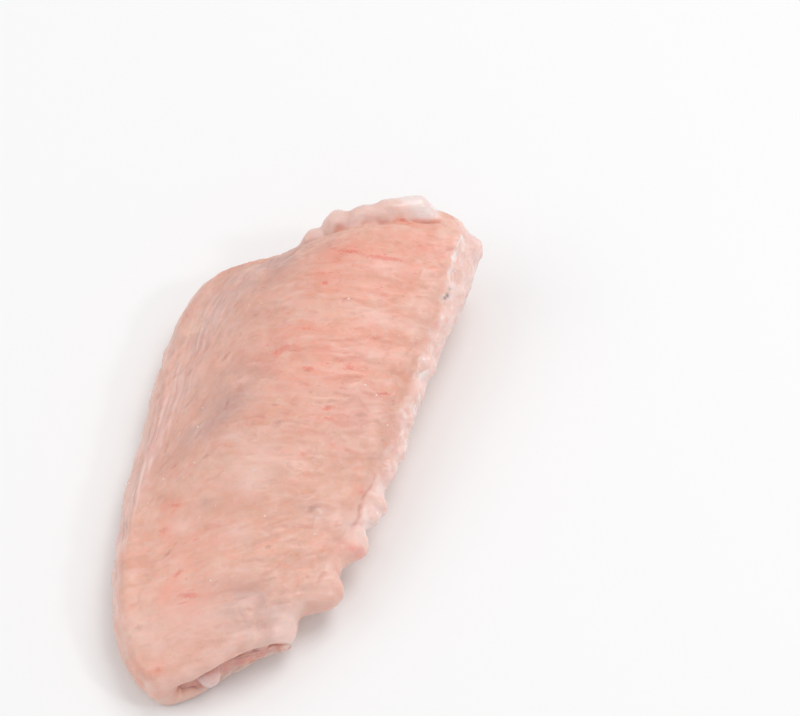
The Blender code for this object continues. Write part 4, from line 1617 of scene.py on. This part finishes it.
@dataclass(frozen=True)
class SkinFolds:
    """Geometry Nodes that lay the fine folds, creases, pores and lumps into the skin. Sizes in mm."""

    fold_depth: float = 0.27
    fold_spacing: float = 1.7
    fold_length: float = 8.0
    crease_depth: float = 0.15
    crease_spacing: float = 2.6
    crease_stretch: float = 1.3
    crease_width: float = 0.035
    pore_depth: float = 0.04
    pore_spacing: float = 1.15
    lump_depth: float = 0.34
    lump_size: float = 1.9
    seed: float = 3.0

    def _lumps(self, graph: Graph, where: Socket, given: dict) -> Socket:
        """The low lumps of the follicle band and of the fat.

        Args:
            graph: The tree.
            where: Position in mm.
            given: The tree's inputs by name.

        Returns:
            Their height in mm.
        """
        lump = graph.cells(where, graph.over(1.0, given["Lump size"]), "SMOOTH_F1")
        lump = graph.add(graph.ramp(lump, 0.75, 0.1), graph.noise(where, 0.9, 2.0, 0.6))
        return graph.times(graph.times(graph.less(lump, 0.85), given["Lump depth"]), graph.read("lump"))

    def _tree(self) -> Tree:
        """Builds the tree.

        Returns:
            A tree that also keeps where the folds and the creases are.
        """
        graph, given, wanted = mesh_group("skin_folds", self)
        shift = graph.point(given["Seed"], given["Seed"])
        where = graph.vector("ADD", graph.vector("SCALE", graph.position(), PER_MM), shift)
        amount = graph.read("fold_amount")
        weights = graph.fold_weights(graph.read("turn_lead"), graph.read("turn_low"))
        folds = graph.directed_noise(where, weights, given["Fold length"], given["Fold spacing"], 0.6)
        fold = graph.times(graph.less(folds, 0.5), 2.4)
        aside = graph.vector("ADD", where, (31.0, 17.0, 5.0))
        length = graph.times(given["Fold length"], given["Crease stretch"])
        lines = graph.directed_noise(aside, weights, length, given["Crease spacing"], 0.9)
        offset = graph.math("ABSOLUTE", graph.less(lines, 0.5))
        broken = graph.ramp(graph.noise(where, 0.35, 2.0), 0.42, 0.58)
        crease = graph.times(graph.ramp(offset, given["Crease width"], 0.0), broken)
        pore = graph.ramp(graph.cells(where, graph.over(1.0, given["Pore spacing"])), 0.55, 0.1)
        raised = graph.times(fold, given["Fold depth"])
        raised = graph.less(raised, graph.times(crease, given["Crease depth"]))
        raised = graph.add(raised, graph.times(pore, given["Pore depth"]))
        height = graph.add(graph.times(raised, amount), self._lumps(graph, where, given))
        whole = graph.less(1.0, graph.read("cut"), clamp=True)
        named = graph.keep(given["Geometry"], "fold", graph.times(fold, amount))
        named = graph.keep(named, "crease", graph.times(crease, amount))
        moved = graph.move(named, graph.times(graph.times(height, whole), MM))
        parts = graph.node("ShaderNodeSeparateXYZ", {0: graph.position()}).outputs
        level = graph.point(parts[0], parts[1], graph.math("MAXIMUM", parts[2], 0.0))
        rest = graph.node("GeometryNodeSetPosition", {"Geometry": moved, "Position": level})
        graph.finish(rest.outputs[0], given["Finish"], wanted["Geometry"])
        return graph.tree

    def apply(self, piece: Piece, finish: Finish) -> None:
        """Lays the folds into a piece that carries the zones."""
        bake_nodes(piece, self._tree(), {**sizes(self), "Finish": finish})


@dataclass
class WingSkin:
    """The skin all round the wing, with its lips at both cuts. Sizes in mm."""

    loft: WingLoft
    finish: Finish
    folds: SkinFolds = SkinFolds()
    rings: int = 312
    over: int = 196
    beneath: int = 78
    wrinkle: tuple = (0.42, 3.4, 15.0)
    wrinkle_turn: float = math.radians(28)
    swell: tuple = (0.7, 13.0)
    ridge_inset: float = 3.0
    ridge_height: float = 0.35
    hollow: float = 2.2
    hollow_size: float = 10.0
    hollow_turn: float = math.radians(75)
    pressed: float = 0.3
    groove_depth: float = 0.3
    pit_depth: float = 0.25
    mark_depth: float = 0.08
    follicles: Follicles = field(init=False)
    lobes: WristLobes = field(init=False)
    roll: FatRoll = field(init=False)
    lips: CutLips = field(init=False)
    edge_rings: dict[Cut, Points] = field(init=False)

    def __post_init__(self) -> None:
        """Makes the parts of the relief."""
        self.follicles, self.lobes = Follicles(self.loft), WristLobes(self.loft)
        self.roll, self.lips = FatRoll(self.loft), CutLips(self.over)

    def smooth(self) -> Surface:
        """Lays the smooth wing out, ring by ring.

        Returns:
            Its points and their places.
        """
        along = np.linspace(0, 1, self.rings)
        sections = [self.loft.section(v, self.over, self.beneath) for v in along]
        across, height, side = (np.array([part[k] for part in sections]) for k in range(3))
        share = np.repeat(along[:, None], across.shape[1], axis=1)
        points = np.concatenate([self.loft.plan(across, share, height), height[..., None]], axis=-1)
        ends = self.loft.plan(np.tile((0.0, 1.0), (self.rings, 1)), share[:, :2])
        return Surface(self.loft, points, across, share, side, distance(ends[:, 1], ends[:, 0])[:, None])

    @staticmethod
    def normals(points: Points) -> Points:
        """Outward normals of a grid of closed rings."""
        around = np.roll(points, -1, axis=1) - np.roll(points, 1, axis=1)
        return unit(np.cross(around, np.gradient(points, axis=0)))

    def relief(self, surface: Surface) -> Points:
        """Adds up every large fold, bump and groove.

        Args:
            surface: The smooth wing.

        Returns:
            Height along the surface's normal.
        """
        along, side, inset = surface.along, surface.side, surface.leading - self.ridge_inset
        upper = 0.35 + 0.65 * side
        depth, spacing, length = self.wrinkle
        wrinkles = folded_noise(surface.points, spacing, self.wrinkle_turn, length / spacing)
        fade = ease((along - 0.06) / 0.12) * ease((0.95 - along) / 0.1)
        ridge = gauss(inset, 0.9) - 0.5 * gauss(inset - 2.4, 1.3)
        return sum([
            depth * upper * wrinkles,
            self.swell[0] * upper * surface.noise(self.swell[1], 11.0),
            side * fade * self.ridge_height * ridge,
            *self.roll.relief(surface),
            self.lobes.relief(surface.points),
            self.follicles.relief(surface.points),
        ])

    def shape(self, surface: Surface, zones: Zones) -> Points:
        """Moves the smooth wing's points to the skin's relief and lays it on the board.

        Args:
            surface: The smooth wing.
            zones: Strengths by zone.

        Returns:
            The skin's points, ring by ring.
        """
        total, under = self.relief(surface), 1 - surface.side
        total -= (
            self.groove_depth * zones["groove"] + self.pit_depth * zones["dark_pit"]
            + self.mark_depth * zones["mark"]
        )
        moved = surface.points + self.normals(surface.points) * total[..., None]
        level = surface.points * (1, 1, 0)
        hollows = folded_noise(level, self.hollow_size, self.hollow_turn, 2.2, 31.0)
        moved[..., 2] += under * self.hollow * np.clip(hollows - 0.06, 0, 1)
        moved[..., 2] -= under * np.clip(moved[..., 2], 0, self.pressed)
        moved[..., 2] = np.maximum(moved[..., 2], 0.0)
        return moved

    def lip(self, cut: Cut, source: Zones, side: Points) -> tuple[list[Points], list[dict]]:
        """Makes the rings of the lip at one cut.

        Args:
            cut: Which end.
            source: Strengths by zone at the skin's edge there.
            side: 1 on the upper side or 0 beneath, round the edge.

        Returns:
            The rings from the edge inwards, and their strengths by zone.
        """
        made = self.lips.rings(self.edge_rings[cut], cut)
        zones = []
        for _, raw in made:
            faded = {label: values * (1 - raw) for label, values in source.items()}
            shown = np.full(len(side), raw) * (1.0 if raw > 0.7 else 0.3 + 0.7 * side)
            places = {label: source[label] for label in ("inset", "trail", "run")}
            zones.append({**faded, **places, "cut": shown})
        return [ring for ring, _ in made], zones

    def build(self) -> Piece:
        """Makes the finished skin.

        Returns:
            The skin as one closed mesh.
        """
        surface = self.smooth()
        zones = SkinZones().measure(surface, self.roll, self.lobes)
        moved = self.shape(surface, zones)
        self.edge_rings = {Cut.WRIST: moved[0], Cut.ELBOW: moved[-1]}
        row_zones = [{label: values[k] for label, values in zones.items()} for k in range(self.rings)]
        wrist, wrist_zones = self.lip(Cut.WRIST, row_zones[0], surface.side[0])
        elbow, elbow_zones = self.lip(Cut.ELBOW, row_zones[-1], surface.side[0])
        rows = [*wrist[::-1], *moved, *elbow]
        piece = mesh_object("wing_skin", *capped(rows, [*wrist_zones[::-1], *row_zones, *elbow_zones]))
        self.folds.apply(piece, self.finish)
        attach(piece, "root")
        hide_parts("wing")
        return piece


@dataclass(frozen=True)
class Bundles:
    """The bundles of fibres at one cut, and how well the sheets between them show. Sizes in mm."""

    bundle_size: float
    bundle_height: float
    seam: float
    seed: float


@dataclass(frozen=True)
class FleshLook:
    """How the meat shows at one cut. Sizes in mm."""

    bundles: Bundles
    sheath: float
    bulge: float
    cover: float
    stained: float


@dataclass
class CutFlesh:
    """The meat that shows at a cut: bundles of fibres between pale sheets. Sizes in mm."""

    skin: WingSkin
    finish: Finish
    heads: dict[Cut, Points]
    looks: dict = field(default_factory=lambda: {
        Cut.WRIST: FleshLook(Bundles(5.0, 0.50, 0.25, 4.0), sheath=0.95, bulge=1.2, cover=1.0, stained=1.0),
        Cut.ELBOW: FleshLook(Bundles(4.2, 0.80, 0.65, 1.0), sheath=0.25, bulge=0.7, cover=0.0, stained=0.0),
    })
    collar: tuple = (3.6, 1.4)
    stain_place: tuple = (1.2, 2.2, 1.6)
    stain_radius: float = 1.7
    back_depth: float = 1.8
    face_rings: int = 18

    @staticmethod
    def _tree(bundles: Bundles) -> Tree:
        """Geometry Nodes that raise the bundles and mark the sheets between them.

        Args:
            bundles: Their sizes.

        Returns:
            The tree.
        """
        graph, given, wanted = mesh_group("flesh_bundles", bundles)
        where = graph.vector("SCALE", graph.position(), PER_MM)
        where = graph.vector("ADD", where, graph.point(given["Seed"], 0.0))
        swirl = graph.node("ShaderNodeTexNoise", {"Vector": where, "Scale": 0.4}, noise_dimensions="3D")
        bent = graph.vector("ADD", where, graph.vector("SCALE", swirl.outputs["Color"], 4.0))
        border = graph.cells(bent, graph.over(1.0, given["Bundle size"]), "DISTANCE_TO_EDGE", 0.9)
        patchy = graph.ramp(graph.noise(where, 0.6, 2.0, 0.6), 0.35, 0.6)
        seam = graph.times(graph.times(graph.ramp(border, 0.14, 0.0), given["Seam"]), patchy)
        fibres = graph.times(graph.less(graph.noise(where, 1.3, 3.0, 0.6), 0.5), 0.4)
        raised = graph.times(graph.less(graph.ramp(border, 0.0, 0.34), 0.5), given["Bundle height"])
        height = graph.times(graph.add(raised, fibres), graph.read("face"))
        named = graph.keep(given["Geometry"], "seam", seam)
        moved = graph.move(named, graph.times(height, MM))
        graph.finish(moved, given["Finish"], wanted["Geometry"])
        return graph.tree

    def rings(self, cut: Cut, ring: Points, upper: Points, shares: Points) -> list[Points]:
        """Lays out the plug of meat behind a lip.

        Args:
            cut: Which end.
            ring: The skin's outer edge there.
            upper: How far each of its points belongs to the upper side.
            shares: How far each ring of the face lies from its middle, as a share.

        Returns:
            Three rings behind the face, then the rings of the face.
        """
        lips, look = self.skin.lips, self.looks[cut]
        inwards = lips.inward(ring, cut)
        nearest, towards, _, thickness = lips.frame(ring)
        cover = look.cover * (1 - upper)
        wander = 0.35 * perlin(ring, 2.0, NOISE_SEED)[:, None] * cover
        recess = lips.step(cut, upper) - 0.75 * cover + wander
        rim = ring + towards * thickness * (0.8 - 0.6 * cover) + inwards * recess
        middle = nearest + inwards * (0.5 * (lips.lower_step + lips.overhang[cut]) - look.bulge)
        front = [middle + (rim - middle) * share for share in shares]
        reach, lift = self.collar
        front = [turn - inwards * lift * dome(turn, self.heads[cut], reach)[:, None] for turn in front]
        back, depth = rim + towards * 0.3 + inwards * self.back_depth, inwards * self.back_depth
        behind = [middle + (back - middle) * share + depth * (1 - share) for share in (0.2, 0.6)]
        return [*behind, back, *front]

    def build(self, cut: Cut) -> Piece:
        """Makes the flesh at one cut.

        Args:
            cut: Which end.

        Returns:
            A closed plug that fills the skin behind its lip.
        """
        look, ring = self.looks[cut], self.skin.edge_rings[cut]
        upper = self.skin.lips.frame(ring)[2]
        shares = np.linspace(1.0, 0.08, self.face_rings)
        rings = self.rings(cut, ring, upper, shares)
        spot = self.heads[cut] + np.array(self.stain_place)
        behind = np.ones(3)
        shown = zip(
            rings,
            np.concatenate([behind, shares]),
            np.concatenate([0 * behind, ease((1 - shares) / 0.25)]),
            np.concatenate([behind, look.sheath * (0.35 + 0.65 * ease((shares - 0.45) / 0.5))]),
        )
        zones = [
            {
                "face": np.full(len(ring), face), "sheath": np.full(len(ring), sheath),
                "stain": look.stained * gauss(distance(turn, spot), self.stain_radius),
                "shade": upper[:, 0] * float(ease(np.array((share - 0.12) / 0.26))),
            }
            for turn, share, face, sheath in shown
        ]
        piece = mesh_object(f"{cut.value}_flesh", *capped(rings, zones))
        values = {**sizes(look.bundles), "Finish": self.finish}
        bake_nodes(piece, self._tree(look.bundles), values)
        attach(piece, "root")
        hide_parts("wing")
        return piece


@dataclass
class MoistureBeads:
    """Small drops of moisture on the skin, laid out by Geometry Nodes; their near-white colour is a painted
    glint. Sizes in mm.
    """

    finish: Finish
    smallest: float = 0.07
    largest: float = 0.20
    apart: float = 1.6
    per_square_metre: float = 260000.0
    flatness: float = 0.45
    subdivisions: int = 2
    seed: int = 11

    def _tree(self) -> Tree:
        """Builds the tree.

        Returns:
            A tree that turns a skin into the drops that lie on it.
        """
        graph, given, wanted = mesh_group("moisture_beads", self)
        inputs = {
            "Mesh": given["Geometry"], "Distance Min": graph.times(given["Apart"], MM),
            "Density Max": given["Per square metre"], "Density Factor": graph.read("wet"),
            "Seed": given["Seed"],
        }
        spread = graph.node("GeometryNodeDistributePointsOnFaces", inputs, distribute_method="POISSON")
        inputs = {"Radius": MM, "Subdivisions": given["Subdivisions"]}
        bead = graph.node("GeometryNodeMeshIcoSphere", inputs)
        inputs = {2: given["Smallest"], 3: given["Largest"], "Seed": given["Seed"]}
        size = graph.node("FunctionNodeRandomValue", inputs, data_type="FLOAT").outputs[1]
        laid = graph.node("GeometryNodeInstanceOnPoints", {
            "Points": spread.outputs["Points"], "Instance": bead.outputs["Mesh"],
            "Rotation": spread.outputs["Rotation"],
            "Scale": graph.point(size, size, graph.times(size, given["Flatness"])),
        })
        graph.finish(laid.outputs[0], given["Finish"], wanted["Geometry"])
        return graph.tree

    def build(self, skin: Piece) -> Piece:
        """Lays the drops on the finished skin.

        Args:
            skin: The skin, with its wet zone.

        Returns:
            All the drops as one piece.
        """
        piece = placed("moisture_beads", skin.data.copy())
        bake_nodes(piece, self._tree(), {**sizes(self), "Finish": self.finish})
        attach(piece, "root")
        return piece


@dataclass
class ForearmBone:
    """One of the two bones, with a cartilage head at each cut. Radii in mm."""

    node: str
    loft: WingLoft
    finish: Finish
    places: tuple
    radii: tuple
    out: tuple = (1.6, 1.6)
    sunk: tuple = (1.7, 0.8)
    swelling: tuple = (0.12, 0.14)
    stations: tuple = (0.0, 0.2, 0.5, 0.8, 1.0)
    level: float = 0.48
    wrist_veil: float = 0.3
    steps: int = 40
    sides: int = 48
    head_rings: int = 12
    head_angles: tuple = (6, 84)
    dimple: float = 0.35
    dimple_fade: float = 2.5
    lump_height: float = 0.28
    lump_size: float = 1.9
    lump_shift: float = 5.0

    def path(self) -> Points:
        """Lays out the bone's middle line.

        Returns:
            Its points in mm, from the wrist to the elbow.
        """
        along, across = np.array(self.stations), np.array(self.places)
        below = self.loft.under(across, along)
        height = below + self.level * (self.loft.top(across, along) - below)
        spots = np.concatenate([self.loft.plan(across, along), height[:, None]], axis=1)
        for end, inner, out, sunk in zip((0, -1), (1, -2), self.out, self.sunk):
            way = spots[end] - spots[inner]
            spots[end] += way / np.linalg.norm(way) * (out - sunk)
        return hermite(along, spots, np.linspace(0, 1, self.steps))

    def radius(self, share: Points) -> Points:
        """The radius at shares of the length: a slim shaft that swells towards the heads.

        Args:
            share: Share of the length, from the wrist.

        Returns:
            Radii in mm.
        """
        wrist, shaft, elbow = self.radii
        swollen = (wrist - shaft) * gauss(share, self.swelling[0])
        return shaft + swollen + (elbow - shaft) * gauss(1 - share, self.swelling[1])

    def profile(self, total: float) -> tuple[Points, Points]:
        """Places the rings along the bone, closer together on the rounded heads.

        Args:
            total: The bone's length in mm.

        Returns:
            The place of each ring in mm, and the share of the radius that it has.
        """
        wrist, elbow = self.radius(np.array(0.0)), self.radius(np.array(1.0))
        angles = np.linspace(*np.radians(self.head_angles), self.head_rings)
        near = wrist * (1 - np.cos(angles))
        far = total - elbow * (1 - np.cos(angles))[::-1]
        between = np.linspace(near[-1], far[0], self.steps)[1:-1]
        kept = np.concatenate([np.sin(angles), np.ones(len(between)), np.sin(angles)[::-1]])
        return np.concatenate([near, between, far]), kept

    def build(self) -> Piece:
        """Makes the bone.

        Returns:
            The bone as one closed mesh.
        """
        path = self.path()
        length = lengths(path)
        places, kept = self.profile(length[-1])
        share = places / length[-1]
        centres = np.stack([np.interp(places, length, path[:, k]) for k in range(3)], axis=-1)
        ways = unit(np.gradient(centres, axis=0))
        sideways = unit(np.cross(ways, (0, 0, 1)))
        upwards = np.cross(sideways, ways)
        turn = np.linspace(0, 2 * math.pi, self.sides, endpoint=False)
        cos, sin = np.cos(turn), np.sin(turn)
        radius = (self.radius(share) * kept)[:, None, None]
        spokes = sideways[:, None] * cos[None, :, None] + upwards[:, None] * sin[None, :, None]
        rings = centres[:, None] + spokes * radius
        lumps = perlin(rings, self.lump_size, self.lump_shift)
        ends = np.minimum(places, length[-1] - places)[:, None]
        on_head = 1 - ease(ends / self.dimple_fade)
        notch = gauss(sin[None, :] * radius[..., 0], 1.0) * on_head
        rings = rings + spokes * (self.lump_height * lumps)[..., None]
        sunk = self.dimple * notch + self.lump_height * lumps * on_head
        outward = np.sign(places - length[-1] / 2)[:, None]
        rings -= ways[:, None] * (outward * sunk)[..., None]
        above = 0.65 + 0.35 * (0.6 * cos + 0.8 * sin)[None, :]
        veil = self.wrist_veil * (1 - ease(share / 0.3))[:, None] * above + 0.8 * ease((ends - 0.6) / 5.0)
        zones = [{"veil": values} for values in np.clip(veil, 0, 0.9)]
        piece = mesh_object(f"{self.node}_bone", *capped(list(rings), zones))
        piece.data.materials.append(self.finish)
        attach(piece, "root")
        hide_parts(self.node)
        return piece


@dataclass(frozen=True)
class Lamp:
    """A square soft light that faces the wing. Lengths in metres, power in watts."""

    name: str
    place: tuple
    size: float
    power: float

    def build(self) -> None:
        """Adds the light."""
        data = bpy.data.lights.new(self.name, "AREA")
        data.shape = "SQUARE"
        data.size = self.size
        data.energy = self.power
        lamp = placed(self.name, data)
        lamp.location = self.place
        lamp.rotation_euler = Vector(self.place).to_track_quat("Z", "Y").to_euler()


@dataclass
class Studio:
    """Floor, light and camera. Lengths in metres."""

    aim: tuple = (0.01475, 0.01762, 0.01631)
    azimuth: float = math.radians(28)
    elevation: float = math.radians(55)
    distance: float = 0.42
    lens: float = 120.0
    sensor: float = 36.0
    floor_size: float = 6.0
    world_strength: float = 0.60
    near_clip: float = 0.01
    lamps: tuple = (
        Lamp("key_light", (0.15, 0.40, 0.80), 0.5, 2.6), Lamp("fill_light", (-0.50, -0.35, 0.60), 0.6, 1.3),
        Lamp("spark_light", (0.55, 0.10, 0.50), 0.08, 0.5),
    )

    def back(self) -> Vector:
        """The direction from the object to the camera.

        Returns:
            A vector of length 1.
        """
        level = math.cos(self.elevation)
        x, y = math.sin(self.azimuth) * level, -math.cos(self.azimuth) * level
        return Vector((x, y, math.sin(self.elevation)))

    def build_camera(self) -> None:
        """Adds the camera at the photograph's viewing angle."""
        data = bpy.data.cameras.new("camera")
        data.lens = self.lens
        data.sensor_width = self.sensor
        data.sensor_fit = "HORIZONTAL"
        data.clip_start = self.near_clip
        camera = placed("camera", data)
        camera.location = Vector(self.aim) + self.back() * self.distance
        camera.rotation_euler = self.back().to_track_quat("Z", "Y").to_euler()
        bpy.context.scene.camera = camera

    def build_floor(self) -> None:
        """Adds the floor, with its top where the wing rests."""
        mesh = bpy.data.meshes.new("studio_floor")
        made = bmesh.new()
        bmesh.ops.create_grid(made, x_segments=1, y_segments=1, size=self.floor_size / 2)
        made.to_mesh(mesh)
        made.free()
        floor = placed("studio_floor", mesh)
        mesh.materials.append(FLOOR.build())

    def build(self) -> None:
        """Sets the whole studio."""
        world = bpy.data.worlds.new("studio")
        world.use_nodes = True
        background = world.node_tree.nodes["Background"]
        background.inputs["Color"].default_value = (1.0, 1.0, 1.0, 1.0)
        background.inputs["Strength"].default_value = self.world_strength
        scene = bpy.context.scene
        scene.world = world
        scene.view_settings.view_transform = "Standard"
        scene.view_settings.look = "None"
        self.build_floor()
        self.build_camera()
        for lamp in self.lamps:
            lamp.build()


def write_sizes() -> None:
    """Only updates the view layer; no sizes are written.
    """
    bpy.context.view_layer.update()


def main() -> None:
    """Builds the wing piece by piece and sets the studio."""
    logging.basicConfig(level=logging.INFO, format="%(name)s: %(message)s")
    effects, loft = Effects(), WingLoft()
    cartilage = CARTILAGE.build(effects)
    skin = WingSkin(loft, SKIN.build(effects))
    ulna = ForearmBone(
        "ulna", loft, cartilage, (0.76, 0.73, 0.74, 0.76, 0.71), (1.7, 2.2, 4.0), wrist_veil=1.2,
    )
    radius = ForearmBone(
        "radius", loft, cartilage, (0.40, 0.41, 0.45, 0.46, 0.37), (1.9, 1.5, 2.8), (3.2, 1.6),
        wrist_veil=0.5,
    )
    heads = {Cut.WRIST: radius.path()[0], Cut.ELBOW: ulna.path()[-1]}
    flesh = CutFlesh(skin, FLESH.build(effects), heads)
    pieces = [skin.build()]
    pieces.append(MoistureBeads(WET_GLINT.build()).build(pieces[0]))
    pieces += [flesh.build(cut) for cut in Cut]
    pieces += [ulna.build(), radius.build()]
    for piece in pieces:
        log.info("%s: %d faces", piece.name, len(piece.data.polygons))
    Studio().build()
    write_sizes()


if __name__ == "__main__":
    main()
